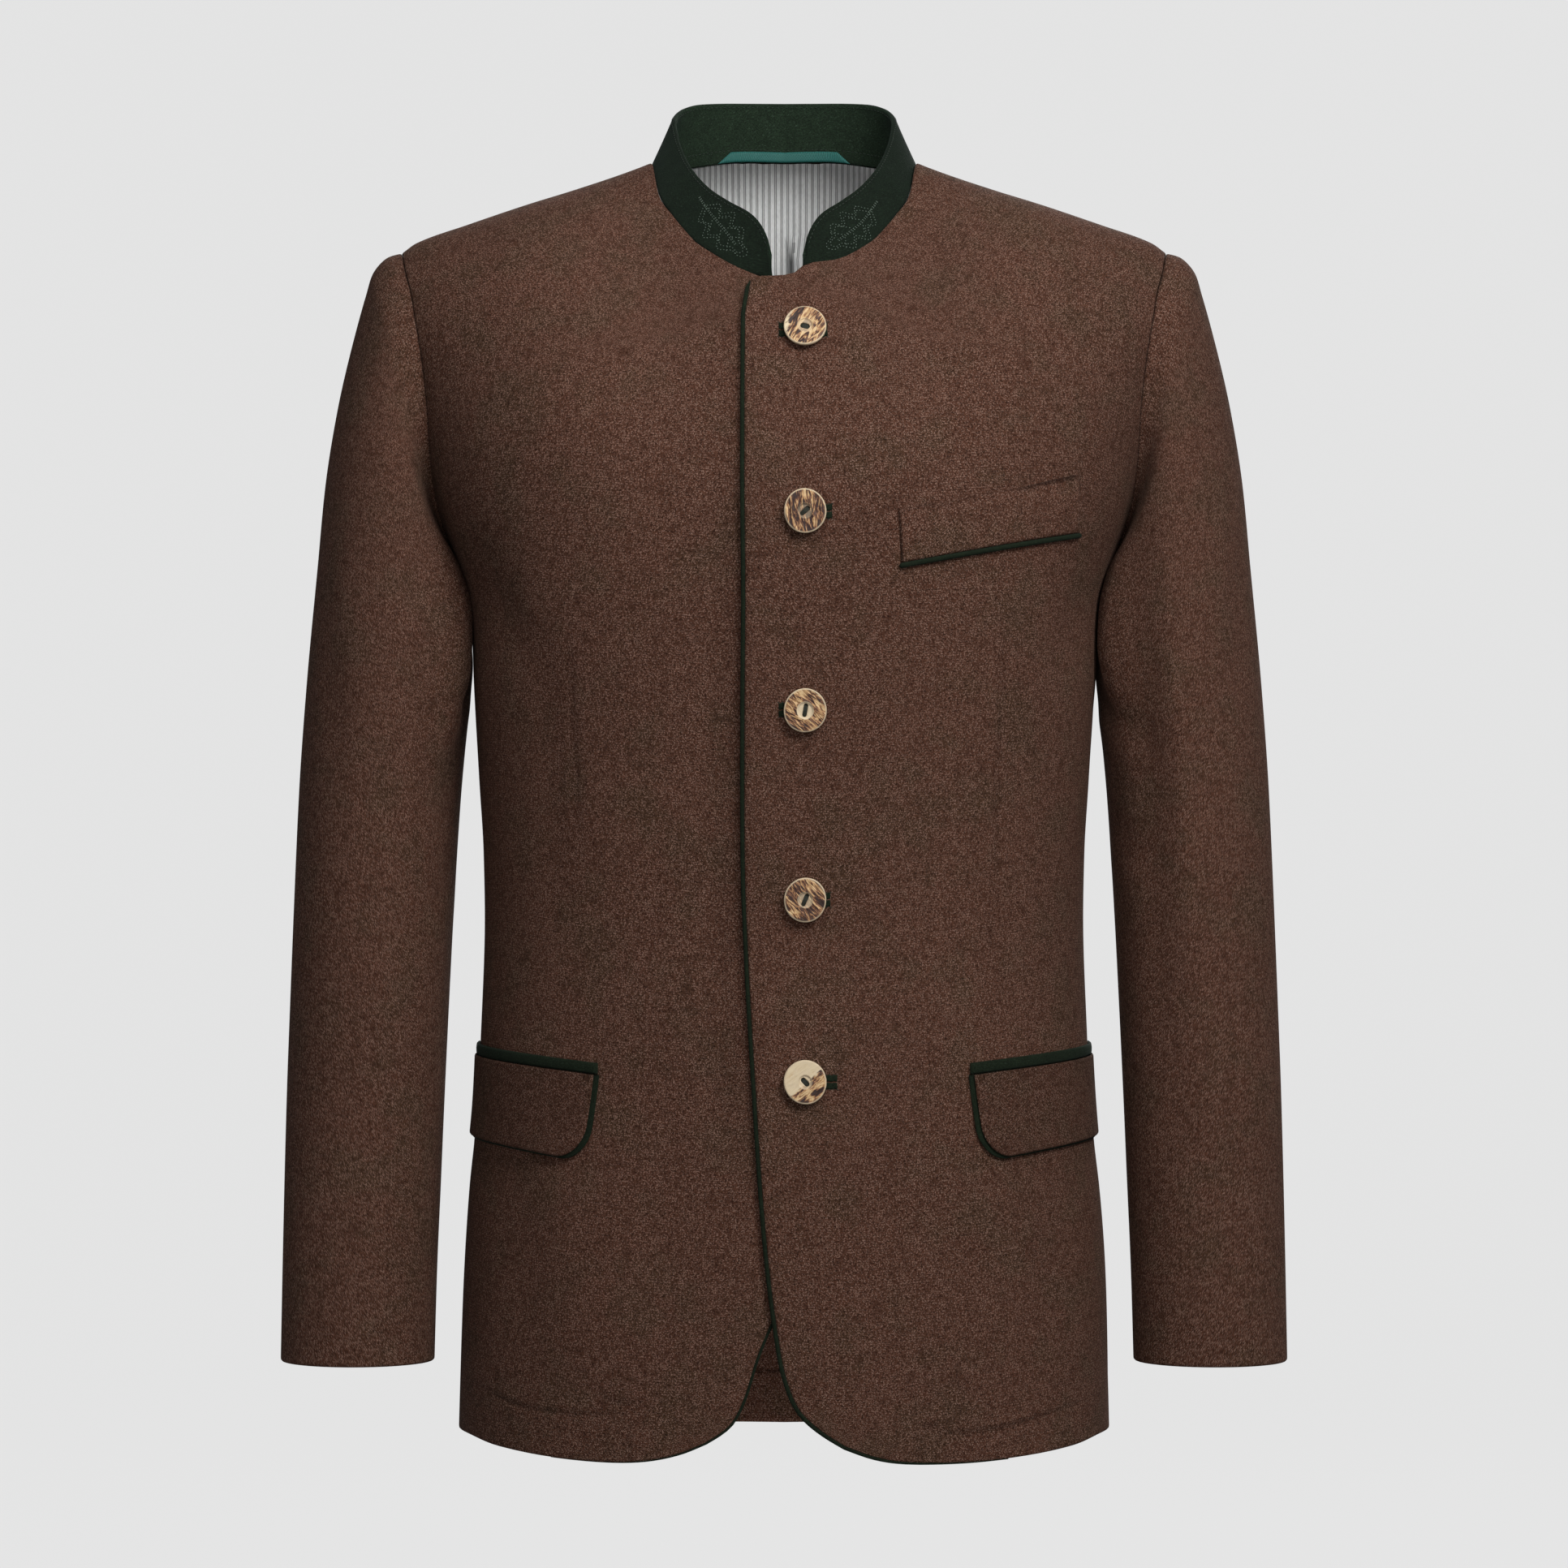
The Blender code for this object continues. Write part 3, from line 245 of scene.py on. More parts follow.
def alongLine(points, shares, fine=12):  # places at shares of the length of a smooth line
    points = np.asarray(points, float)
    count = len(points)
    i = np.repeat(np.arange(count - 1), fine)
    t = np.tile(np.arange(fine) / fine, count - 1)[:, None]
    a, b, c, d = (points[np.clip(i + k, 0, count - 1)] for k in (-1, 0, 1, 2))
    line = 0.5 * (2 * b + (c - a) * t + (2 * a - 5 * b + 4 * c - d) * t ** 2 + (3 * b - a - 3 * c + d) * t ** 3)
    line = np.vstack([line, points[-1:]])
    reach = reachAlong(line, 0)
    return np.stack([np.interp(shares, reach / reach[-1], column) for column in line.T], axis=1)


def alongBody(places, shares):  # the same, measured along the cloth
    places = np.asarray(places, float)
    # the places ride along on the points, too small to weigh
    guide = np.hstack([torsoPoint(places[:, 0], places[:, 1]), places * 1e-6])
    return alongLine(guide, shares)[:, 3:] * 1e6


def onSight(points, back=False):
    return [placeOn(x, z, back) for x, z in points]


def sideEdge(vs, back):
    rise = mix(bodyForm["hemSide"], bodyForm["underarm"], np.clip(vs / rowsAt["underarm"], 0, 1))
    seam = joined(bodyForm["sideSeam"], rise)
    armhole = [np.array([bodyForm["sideSeam"], bodyForm["underarm"]])]
    armhole += onSight(armholeBack if back else armholeFront, back) + [shoulderPlace(bodyForm["shoulderTip"], back)]
    above = alongBody(armhole, np.clip((vs - rowsAt["underarm"]) / (1 - rowsAt["underarm"]), 0, 1))
    return np.where(vs[:, None] <= rowsAt["underarm"], seam, above)


def filled(left, right, bottom, top, us, vs):  # a grid of places between four sides
    u, v = us[None, :, None], vs[:, None, None]
    across = mix(left[:, None], right[:, None], u) + mix(bottom[None], top[None], v)
    corners = mix(mix(left[0], right[0], u), mix(left[-1], right[-1], u), v)
    return across - corners


def frontPlaces(front, us, vs):
    side = sideEdge(vs, False)
    neckPoint = shoulderPlace(bodyForm["neckPoint"])
    corner = rowsAt["neckCorner"]
    opening = alongBody(onSight(front["edge"] + front["neckEnd"][-1:]), np.clip(vs / corner, 0, 1) ** 1.5)
    neckShare = np.clip((vs - corner) / (1 - corner), 0, 1)
    neck = alongBody(onSight(front["neckEnd"][::-1] + neckline[::-1]) + [neckPoint], neckShare)
    edge = np.where(vs[:, None] <= corner, opening, neck)
    bottom = alongBody([side[0]] + onSight(front["hem"] + front["edge"][:1]), us)
    top = alongBody([side[-1], shoulderPlace(bodyForm["shoulderMiddle"]), neckPoint], us)
    return filled(side, edge, bottom, top, us, vs)


def mirroredPlaces(places):
    return joined(2 * math.pi - places[..., 0], places[..., 1])


def backPlaces(us, vs):
    side = sideEdge(vs, True)
    half = np.minimum(us, 1 - us) * 2
    ends = rowsAt["shoulderEnds"]
    hemTurn = np.array([math.radians(135), mix(bodyForm["hemSide"], bodyForm["backHemMiddle"], 0.75)])
    bottom = alongBody([side[0], hemTurn, np.array([math.pi, bodyForm["backHemMiddle"]])], half)
    neckPoint = shoulderPlace(bodyForm["neckPoint"], True)
    shoulder = [side[-1], shoulderPlace(bodyForm["shoulderMiddle"], True), neckPoint]
    shoulder = alongBody(shoulder, np.clip(half / ends, 0, 1))
    neck = [neckPoint] + [placeByDepth(x, y) for x, y in backNeckDepth]
    neck = alongBody(neck, np.clip((half - ends) / (1 - ends), 0, 1))
    top = np.where(half[:, None] <= ends, shoulder, neck)
    bottom, top = (np.where(us[:, None] > 0.5, mirroredPlaces(line), line) for line in (bottom, top))
    return filled(side, mirroredPlaces(side), bottom, top, us, vs)


# creases, placed as soft troughs and ridges
creaseForm = {
    "reach": 5.0,          # in half widths, like the ridge's place and its own half width
    "ridgeOut": 1.9, "ridgeWide": 1.2, "ends": 0.6,
    "sharp": 0.004,        # creases narrower than this get painted shade
    "fullMark": 0.0010,
}
# half width, depth, share of the ridge beside it, painted shade, and its line of (x, height) points on the cloth
frontCreases = [
    (0.0016, 0.0007, 0.0, 0.0, [(-0.1215, -0.262), (-0.1195, -0.300), (-0.1170, -0.350), (-0.1145, -0.404)]),
    (0.0016, 0.0004, 0.0, 0.0, [(0.1250, -0.250), (0.1225, -0.320), (0.1190, -0.400), (0.1145, -0.500)]),
    (0.011, 0.0022, 0.6, 0.0, [(-0.178, -0.232), (-0.160, -0.262), (-0.146, -0.300)]),
    (0.011, 0.0020, 0.6, 0.0, [(0.180, -0.232), (0.166, -0.268), (0.155, -0.312)]),
    (0.016, 0.0012, 0.5, 0.0, [(-0.040, -0.095), (-0.085, -0.120), (-0.140, -0.150)]),
    (0.016, 0.0010, 0.5, 0.0, [(0.040, -0.095), (0.085, -0.125), (0.135, -0.160)]),
    (0.016, 0.0018, 0.6, 0.0, [(-0.165, -0.560), (-0.150, -0.630), (-0.148, -0.700)]),
    (0.016, 0.0016, 0.6, 0.0, [(0.165, -0.570), (0.152, -0.640), (0.146, -0.705)]),
    (0.018, 0.0010, 0.5, 0.0, [(-0.060, -0.500), (-0.066, -0.590), (-0.060, -0.690)]),
    (0.016, 0.0010, 0.5, 0.0, [(0.052, -0.560), (0.060, -0.640), (0.066, -0.715)]),
    (0.0022, 0.0007, 0.4, 0.0, [(-0.104, -0.707), (-0.092, -0.711), (-0.078, -0.7105)]),
    (0.0022, 0.0007, 0.4, 0.0, [(0.076, -0.7255), (0.084, -0.7235), (0.090, -0.7230)]),
    # painted shadow lines beside the chest welt's top and front end
    (0.0018, 0.0005, 0.3, 0.0, [(0.083, -0.1990), (0.090, -0.2010)]),
    (0.0011, 0.0010, 0.0, 0.0, [(0.1400, -0.1940), (0.1530, -0.1890), (0.1660, -0.1832)]),
    (0.0009, 0.0003, 0.0, 0.0, [(0.0660, -0.2078), (0.0780, -0.2066), (0.0900, -0.2052)]),
    (0.0012, 0.0008, 0.0, 0.0, [(0.0636, -0.2090), (0.0642, -0.2250), (0.0648, -0.2390)]),
    # painted shadow beside the overlapping left front, and painted shade left of the dart
    (0.011, 0.0018, 0.0, 0.42, [(-0.0300, -0.105), (-0.0300, -0.300), (-0.0310, -0.500), (-0.0250, -0.600)]),
    (0.009, 0.0012, 0.0, 0.25, [(-0.1330, -0.255), (-0.1310, -0.350), (-0.1270, -0.440)]),
    # the turned-up hem showing through, with painted shade along its line
    (0.0015, 0.0007, 0.35, 0.0, [
        (-0.1770, -0.7060), (-0.1640, -0.7115), (-0.1480, -0.7160), (-0.1290, -0.7178), (-0.1105, -0.7178),
        (-0.0970, -0.7170), (-0.0865, -0.7160),
    ]),
    (0.0013, 0.0006, 0.3, 0.0, [(-0.0868, -0.7150), (-0.0866, -0.7300), (-0.0864, -0.7470)]),
    (0.0015, 0.0007, 0.35, 0.0, [
        (0.0760, -0.7240), (0.0890, -0.7270), (0.1025, -0.7280), (0.1220, -0.7262), (0.1425, -0.7220),
        (0.1620, -0.7175), (0.1750, -0.7135),
    ]),
    (0.0013, 0.0006, 0.3, 0.0, [(0.0770, -0.7250), (0.0750, -0.7360), (0.0730, -0.7470)]),
]
backCreases = [
    (0.017, 0.0026, 0.6, 0.0, [(-0.165, -0.215), (-0.130, -0.255), (-0.105, -0.320)]),
    (0.016, 0.0022, 0.6, 0.0, [(0.168, -0.220), (0.138, -0.262), (0.118, -0.335)]),
    (0.016, 0.0016, 0.5, 0.0, [(-0.075, -0.330), (-0.062, -0.420), (-0.070, -0.520)]),
    (0.015, 0.0014, 0.5, 0.0, [(0.088, -0.350), (0.070, -0.440), (0.076, -0.540)]),
    (0.013, 0.0012, 0.5, 0.0, [(-0.050, -0.060), (0.000, -0.074), (0.052, -0.062)]),
    (0.018, 0.0018, 0.6, 0.0, [(-0.110, -0.590), (-0.120, -0.660), (-0.116, -0.730)]),
    (0.018, 0.0013, 0.5, 0.0, [(0.020, -0.600), (0.028, -0.670), (0.024, -0.735)]),
    (0.017, 0.0016, 0.6, 0.0, [(0.125, -0.580), (0.136, -0.650), (0.130, -0.725)]),
    # the turned-up hem showing through, with painted shade along its line
    (0.0015, 0.0006, 0.35, 0.0, [
        (-0.180, -0.7085), (-0.090, -0.7170), (0.000, -0.7195), (0.090, -0.7170), (0.180, -0.7085),
    ]),
]


def bell(apart, wide, power=2):  # 1 in the middle, fading out over the half width
    return np.exp(-((apart / wide) ** power))


def furrow(apart, wide, ridge):  # a soft trough, with a softer ridge on its one side
    return bell(apart, wide) - ridge * bell(apart - creaseForm["ridgeOut"] * wide, creaseForm["ridgeWide"] * wide)


def creasedWithPaintedShade(x, z, creases):  # how far the cloth sinks at x and height, and how much painted shade it gets there
    sunk, paintedShade = np.zeros(np.shape(x)), np.zeros(np.shape(x))
    for wide, deep, ridge, shade, points in creases:
        line = alongLine(points, np.linspace(0, 1, 48))
        steps = np.diff(line, axis=0)
        low, high = line.min(axis=0) - creaseForm["reach"] * wide, line.max(axis=0) + creaseForm["reach"] * wide
        near = (x > low[0]) & (x < high[0]) & (z > low[1]) & (z < high[1])
        if not near.any():
            continue
        away = joined(x[near], z[near])[:, None] - line[None, :-1]
        share = np.clip((away * steps).sum(-1) / (steps ** 2).sum(-1), 0, 1)
        gaps = away - share[..., None] * steps
        best = np.linalg.norm(gaps, axis=-1).argmin(axis=1)
        pick = np.arange(len(best)), best
        step, gap = steps[best], gaps[pick]
        apart = np.linalg.norm(gap, axis=-1) * np.where(step[:, 0] * gap[:, 1] < step[:, 1] * gap[:, 0], -1, 1)
        fade = np.sin(math.pi * np.clip((best + share[pick]) / len(steps), 0.02, 0.98)) ** creaseForm["ends"]
        sunk[near] += deep * fade * furrow(apart, wide, ridge)
        darkest = max(shade, deep / creaseForm["fullMark"] if wide < creaseForm["sharp"] else 0.0)
        paintedShade[near] = np.maximum(paintedShade[near], fade * bell(apart, wide) * darkest)
    return sunk, np.clip(paintedShade, 0, 1)


def lapLift(x, z):
    across = 1 - smooth((x - lap["fullTo"]) / (lap["ends"] - lap["fullTo"]))
    return lap["lift"] * across * (1 - smooth((z - lap["top"][0]) / (lap["top"][1] - lap["top"][0])))


def onBody(places, side=1):  # points of the body, and the ways out from it
    angle, level = side * places[..., 0], places[..., 1]
    return torsoPoint(angle, level), torsoNormal(angle, level)


def bodyWall(places, side, lifted):
    points, normals = onBody(places, side)
    x, z = points[..., 0], points[..., 2]
    front, back = creasedWithPaintedShade(x, z, frontCreases), creasedWithPaintedShade(x, z, backCreases)
    sunk, paintedShade = (np.where(normals[..., 1] < 0, a, b) for a, b in zip(front, back))
    rise = (lapLift(x, z) if lifted else 0.0) - sunk
    return points + normals * rise[..., None], normals, paintedShade


# meshes
# axis of the grid, its end, the one next to it
allEdges = {"bottom": (0, 0, 1), "top": (0, -1, -2), "left": (1, 0, 1), "right": (1, -1, -2)}


def sharesOf(count, *extra):  # even shares from 0 to 1, with others between them
    return np.unique(np.round(np.concatenate([np.linspace(0, 1, count), *extra]), 7))


def reachAlong(points, axis):  # distance along the grid from its first edge
    steps = np.linalg.norm(np.diff(points, axis=axis), axis=-1)
    zero = np.zeros_like(np.take(steps, [0], axis=axis))
    return np.concatenate([zero, np.cumsum(steps, axis=axis)], axis=axis)


def edgeDistance(points, edges):
    across, up = reachAlong(points, 1), reachAlong(points, 0)
    distances = {"left": across, "right": across[:, -1:] - across, "bottom": up, "top": up[-1:] - up}
    return np.minimum.reduce([distances[edge] for edge in edges])


def pulledIn(points, edges, amount):
    result = points.copy()
    for axis, end, inner in (allEdges[edge] for edge in edges):
        source, moved = points.swapaxes(0, axis), result.swapaxes(0, axis)
        moved[end] += unit(source[inner] - source[end]) * amount
    return result


def gridNormals(points, around=False):
    if around:
        across = np.roll(points, -1, axis=1) - np.roll(points, 1, axis=1)
    else:
        across = np.gradient(points, axis=1)
    return unit(np.cross(across, np.gradient(points, axis=0)))


def facingOut(normals, points):
    outward = (normals[..., :2] * points[..., :2]).sum(-1, keepdims=True)
    return np.where(outward < 0, -normals, normals)


def turning(degrees):  # turns flat rows of (x, y)
    c, s = math.cos(math.radians(degrees)), math.sin(math.radians(degrees))
    return np.array([[c, s], [-s, c]])


def link(name, data):
    made = bpy.data.objects.new(name, data)
    bpy.context.scene.collection.objects.link(made)
    return made


def linkMesh(name, vertices, faces, material, uvs=None):
    mesh = bpy.data.meshes.new(name)
    mesh.from_pydata(np.asarray(vertices).tolist(), [], faces)
    if uvs is not None:
        layer = mesh.uv_layers.new(name="cloth")
        corners = np.empty(len(mesh.loops), np.int32)
        mesh.loops.foreach_get("vertex_index", corners)
        layer.data.foreach_set("uv", np.asarray(uvs, np.float32)[corners].ravel())
    mesh.materials.append(material)
    mesh.shade_smooth()
    return link(name, mesh)


def mark(piece, name, values):  # a value at each point, for the finish
    layer = piece.data.attributes.new(name, "FLOAT", "POINT")
    layer.data.foreach_set("value", np.asarray(values, np.float32).ravel())


def shell(name, points, normals, thickness, material, paintedShade=0.0, seams=(), deep=cloth["turn"],
          roll=cloth["roll"], inside=0.0, uv=None):
    # a thin wall on a grid, its faces turned over towards each other at the edges; seams get painted shade along
    # their grooves
    distance = edgeDistance(points, allEdges)
    share = 1 - np.clip(distance / roll, 0, 1)
    turn = thickness * deep * (1 - np.sqrt(1 - share ** 2))
    out = normals * (thickness / 2 - turn)[..., None]
    walls = np.stack([points + out, points - out])
    if uv is None:
        uv = joined(reachAlong(points, 1), reachAlong(points, 0))
    index = np.arange(distance.size).reshape(distance.shape)
    sheet = joined(index[:-1, :-1], index[:-1, 1:], index[1:, 1:], index[1:, :-1]).reshape(-1, 4)
    border = np.concatenate([index[0, :-1], index[:-1, -1], index[-1, :0:-1], index[:0:-1, 0]])
    after = np.roll(border, -1)
    rim = joined(after, border, border + index.size, after + index.size)
    faces = np.vstack([sheet, sheet[:, ::-1] + index.size, rim])
    outer = walls[0]
    facing = np.cross(outer[:-1, :-1] - outer[1:, 1:], outer[1:, :-1] - outer[:-1, 1:])
    if (facing * normals[:-1, :-1]).sum() < 0:
        faces = faces[:, ::-1]
    piece = linkMesh(name, walls.reshape(-1, 3), faces.tolist(), material, np.stack([uv, uv]).reshape(-1, 2))
    # painted shade on both faces; inside adds painted light (below 0) or painted shade to the inner face only
    shade = np.zeros(distance.shape) + paintedShade
    if seams:
        shade = np.maximum(shade, cloth["seamPaintedShade"] * bell(edgeDistance(points, seams), cloth["seamWide"]))
    mark(piece, "paintedShadeAndLight", np.stack([shade, shade + inside]))
    return piece


def ringFaces(rings, sides, closed=False):  # four-sided faces between rings of points, one ring after another
    here = np.arange((rings if closed else rings - 1) * sides)
    beside = here - here % sides + (here + 1) % sides
    return joined(here, beside, (beside + sides) % (rings * sides), (here + sides) % (rings * sides))


def tube(name, route, radius, material, sides=12):  # a piping along a line of points, with closed round ends
    radius = np.broadcast_to(radius, (len(route),))
    ahead = unit(np.gradient(route, axis=0))
    side = unit(np.cross(ahead[0], [0.0, 0.0, 1.0] if abs(ahead[0, 2]) < 0.8 else [0.0, 1.0, 0.0]))
    across = []
    for way in ahead:
        side = unit(side - way * (side @ way))
        across.append(side)
    pick = np.concatenate([[0, 0], np.arange(len(route)), [-1, -1]])
    bulge = np.concatenate([[-0.9, -0.55], np.zeros(len(route)), [0.55, 0.9]])[:, None]
    across, size = np.array(across)[pick], radius[pick, None]
    centres = route[pick] + ahead[pick] * size * bulge
    size = size * np.sqrt(1 - bulge ** 2)
    turns = np.linspace(0, 2 * math.pi, sides, endpoint=False)
    cos, sin = np.cos(turns)[:, None], np.sin(turns)[:, None]
    spokes = across[:, None] * cos + np.cross(ahead[pick], across)[:, None] * sin
    tips = route[[0, -1]] + ahead[[0, -1]] * radius[[0, -1], None] * [[-1], [1]]
    vertices = np.vstack([(centres[:, None] + spokes * size[:, None]).reshape(-1, 3), tips])
    faces = ringFaces(len(centres), sides).tolist()
    tip, last = len(vertices) - 2, len(vertices) - 2 - sides
    for here in range(sides):
        beside = (here + 1) % sides
        faces += [(beside, here, tip), (last + here, last + beside, tip + 1)]
    reach = reachAlong(centres, 0)
    uvs = joined(turns * radius.max(), reach[:, None]).reshape(-1, 2)
    return linkMesh(name, vertices, faces, material, np.vstack([uvs, [(0.0, 0.0), (0.0, reach[-1])]]))


# shader maths
def operator(name, swapped=False):
    return lambda self, other: self.book.maths(name, *((other, self) if swapped else (self, other)))


class Signal:  # a shader socket that takes part in Python expressions
    def __init__(self, book, socket):
        self.book, self.socket = book, socket

    __add__ = __radd__ = operator("ADD")
    __mul__ = __rmul__ = operator("MULTIPLY")
    __sub__, __rsub__ = operator("SUBTRACT"), operator("SUBTRACT", True)
    __truediv__ = operator("DIVIDE")


class NodeBook:  # makes the nodes of one tree
    def __init__(self, tree):
        self.tree = tree

    def node(self, kind, inputs=None, output=0, **settings):
        made = self.tree.nodes.new(kind)
        for key, value in settings.items():
            setattr(made, key, value)
        for key, value in (inputs or {}).items():
            self.feed(made.inputs[key], value)
        return self.take(made, output)

    def take(self, made, output):
        return Signal(self, made.outputs[output]) if made.outputs else None

    def feed(self, socket, value):
        if isinstance(value, Signal):
            self.tree.links.new(value.socket, socket)
        elif socket.type == "RGBA":
            socket.default_value = (*value, 1)
        else:
            socket.default_value = value

    def maths(self, operation, *values):
        return self.node("ShaderNodeMath", dict(enumerate(values)), operation=operation)


class FinishBook(NodeBook):  # the nodes of one material
    def __init__(self, name):
        self.material = bpy.data.materials.new(name)
        self.material.use_nodes = True
        self.tree = self.material.node_tree
        self.shader = self.tree.nodes["Principled BSDF"]

    def largest(self, *values):
        total = values[0]
        for value in values[1:]:
            total = self.maths("MAXIMUM", total, value)
        return total

    def place(self, output="Object"):
        return self.node("ShaderNodeTexCoord", None, output)

    def parts(self, vector):  # its x, y and z
        split = self.node("ShaderNodeSeparateXYZ", {"Vector": vector}).socket.node
        return [self.take(split, axis) for axis in "XYZ"]

    def turned(self, source, stretch=(1, 1, 1), turn=(0, 0, 0), shift=(0, 0, 0)):
        inputs = {"Vector": source, "Scale": stretch, "Rotation": turn, "Location": shift}
        return self.node("ShaderNodeMapping", inputs, vector_type="TEXTURE")

    def noise(self, source, size, detail=2.0, rough=0.5, distortion=0.0):
        inputs = {"Vector": source, "Scale": 1 / size, "Detail": detail, "Roughness": rough, "Distortion": distortion}
        return self.node("ShaderNodeTexNoise", inputs, "Fac")

    def ease(self, value, low, high):  # 0 below low, 1 above high, smooth between
        inputs = {"Value": value, "From Min": low, "From Max": high}
        return self.node("ShaderNodeMapRange", inputs, interpolation_type="SMOOTHSTEP")

    def spread(self, value, gain):  # noise drawn apart from its middle, kept above 0
        return self.largest((value - 0.5) * gain + 1.0, 0.0)

    def blend(self, share, first, second):
        return self.node("ShaderNodeMix", {"Factor": share, 6: first, 7: second}, 2, data_type="RGBA")

    def shade(self, colour, amount):  # a colour made lighter or darker
        return self.node("ShaderNodeVectorMath", {0: colour, "Scale": amount}, operation="SCALE")

    def ramp(self, value, stops):
        shown = self.node("ShaderNodeValToRGB", {0: value})
        elements = shown.socket.node.color_ramp.elements
        while len(elements) < len(stops):
            elements.new(0.5)
        for element, (position, colour) in zip(elements, stops):
            element.position, element.color = position, (*colour, 1)
        return shown

    def attribute(self, name):
        return self.node("ShaderNodeAttribute", None, "Fac", attribute_name=name)

    # darkens the colour by the painted shade in the attribute, and lightens it as painted light where that is below 0
    def creasedWithPaintedShade(self, colour, darker):
        return self.shade(colour, 1.0 - self.attribute("paintedShadeAndLight") * darker)

    def finish(self, look, colour, roughness, *heights):
        normal = {}
        for height, (strength, distance) in zip(heights, look.get("relief", ())):
            inputs = {"Height": height, "Strength": strength, "Distance": distance, **normal}
            normal = {"Normal": self.node("ShaderNodeBump", inputs)}
        for key, value in {"Base Color": colour, "Roughness": roughness, **normal, **look["shine"]}.items():
            self.feed(self.shader.inputs[key], value)
        return self.material


# finishes
# relief is the strength and depth of each layer of bumps; shine goes to the shader's inputs of those names
lodenLook = {
    "brown": (0.0560, 0.0250, 0.0143),
    "redBrown": (0.0600, 0.0240, 0.0150),
    "olive": (0.0450, 0.0240, 0.0136),
    "fleck": (0.335, 0.205, 0.155),
    "dark": (0.012, 0.006, 0.004),
    "patch": 0.030,       # size of the red-brown and olive patches
    "patchEdge": (0.45, 0.68),
    "brownShare": 0.35,
    "drift": 0.11,        # size of the slow lighter and darker parts
    "driftGain": 0.3,
    "mottle": 0.0050,
    "mottleGain": 0.7,
    "grain": 0.00125,
    "contrast": 10.5,     # how far the grain's lights and darks lie apart
    "pits": (0.56, 0.66),
    "pitsDark": 0.6,
    "cell": 0.00130,      # one short hair lies in each cell of this size
    "hairLong": 0.00050,
    "hairWide": 0.00030,
    "layers": ((1.0, 0.0), (1.25, 0.37), (0.8, 0.71)),   # of hairs: size and shift
    "hairFades": (0.35, 0.6),    # from here to its side and end, in shares of its size
    "hairFaint": 0.25,    # the share of hairs that don't show
    "hairShows": 0.64,
    "hairPatches": (0.22, 0.50),
    "hairRise": 0.6,
    "hairSmooth": 0.10,
    "paintedShadeAndLight": 0.42,       # how much darker the painted shade makes the cloth
    "roughness": 0.95,
    "relief": ((0.25, 0.0009), (0.55, 0.0005)),
    "shine": {
        "Sheen Weight": 0.03, "Sheen Roughness": 0.5, "Sheen Tint": (0.9, 0.62, 0.46), "Specular IOR Level": 0.08,
    },
}


def hairs(book, flat, look, size, shift):
    # short hairs, one to a cell, each turned its own way and of its own brightness
    moved = book.turned(flat, shift=(shift, -shift, 0))
    inputs = {"Vector": moved, "Scale": 1 / (look["cell"] * size), "Randomness": 1.0}
    cell = book.node("ShaderNodeTexVoronoi", inputs, voronoi_dimensions="2D").socket.node
    chance = book.parts(book.take(cell, "Color"))
    inputs = {0: moved, 1: book.take(cell, "Position")}
    x, y, _ = book.parts(book.node("ShaderNodeVectorMath", inputs, operation="SUBTRACT"))
    turn = chance[0] * 6.2832  # a full circle
    c, s = book.maths("COSINE", turn), book.maths("SINE", turn)
    along = book.maths("ABSOLUTE", x * c + y * s)
    across = book.maths("ABSOLUTE", y * c - x * s)
    long, wide = look["hairLong"] * size, look["hairWide"] * size
    narrow = 1.0 - book.ease(across, wide * look["hairFades"][0], wide)
    ends = 1.0 - book.ease(along, long * look["hairFades"][1], long)
    return narrow * ends * book.ease(chance[1], look["hairFaint"], 1.0)


def lodenFinish(name, look, turn=0.0, darker=1.0):
    book = FinishBook(name)
    solid = book.place()
    flat = book.turned(book.place("UV"), turn=(0, 0, math.radians(turn)))
    patch = book.ease(book.noise(solid, look["patch"], 3.0, 0.6), *look["patchEdge"])
    drift = book.noise(solid, look["drift"], 1.0)
    mottle = book.noise(solid, look["mottle"], 3.0, 0.6)
    grain = book.noise(flat, look["grain"], 3.0, 0.75)
    colour = book.blend(look["brownShare"], book.blend(patch, look["redBrown"], look["olive"]), look["brown"])
    tone = book.maths("POWER", 2.0, (grain - 0.5) * look["contrast"])
    tone = tone * book.spread(mottle, look["mottleGain"]) * book.spread(drift, look["driftGain"])
    colour = book.shade(colour, tone * darker)
    strands = book.largest(*[hairs(book, flat, look, size, shift) for size, shift in look["layers"]])
    strands = strands * book.ease(mottle, *look["hairPatches"])
    colour = book.blend(strands * look["hairShows"], colour, book.shade(look["fleck"], darker))
    pits = book.ease(book.noise(flat, look["grain"], 2.0), *look["pits"])
    colour = book.creasedWithPaintedShade(book.blend(pits * look["pitsDark"], colour, look["dark"]), look["paintedShadeAndLight"])
    roughness = look["roughness"] - strands * look["hairSmooth"]
    return book.finish(look, colour, roughness, mottle, grain + strands * look["hairRise"])


feltLook = {
    "green": (0.0068, 0.0132, 0.0070),
    "deep": (0.0032, 0.0054, 0.0031),
    "fibre": (0.027, 0.044, 0.029),
    "fibreSize": 0.0007,
    "fibreLong": 3.5,
    "fibreTurn": 1.1,
    "fibres": (0.60, 0.74),
    "fibreShows": 0.30,
    "fibreSmooth": 0.08,
    "grain": 0.0010,
    "greens": (0.35, 0.65),
    "mottle": 0.006,
    "mottleGain": 0.9,
    "paintedShadeAndLight": 0.5,
    "roughness": 0.95,
    "relief": ((0.2, 0.0007), (0.5, 0.0004)),
    "shine": {
        "Sheen Weight": 0.022, "Sheen Roughness": 0.5, "Sheen Tint": (0.55, 0.85, 0.70), "Specular IOR Level": 0.15,
    },
}
edgingLook = dict(feltLook, green=(0.0100, 0.0165, 0.0078), deep=(0.0040, 0.0068, 0.0030))


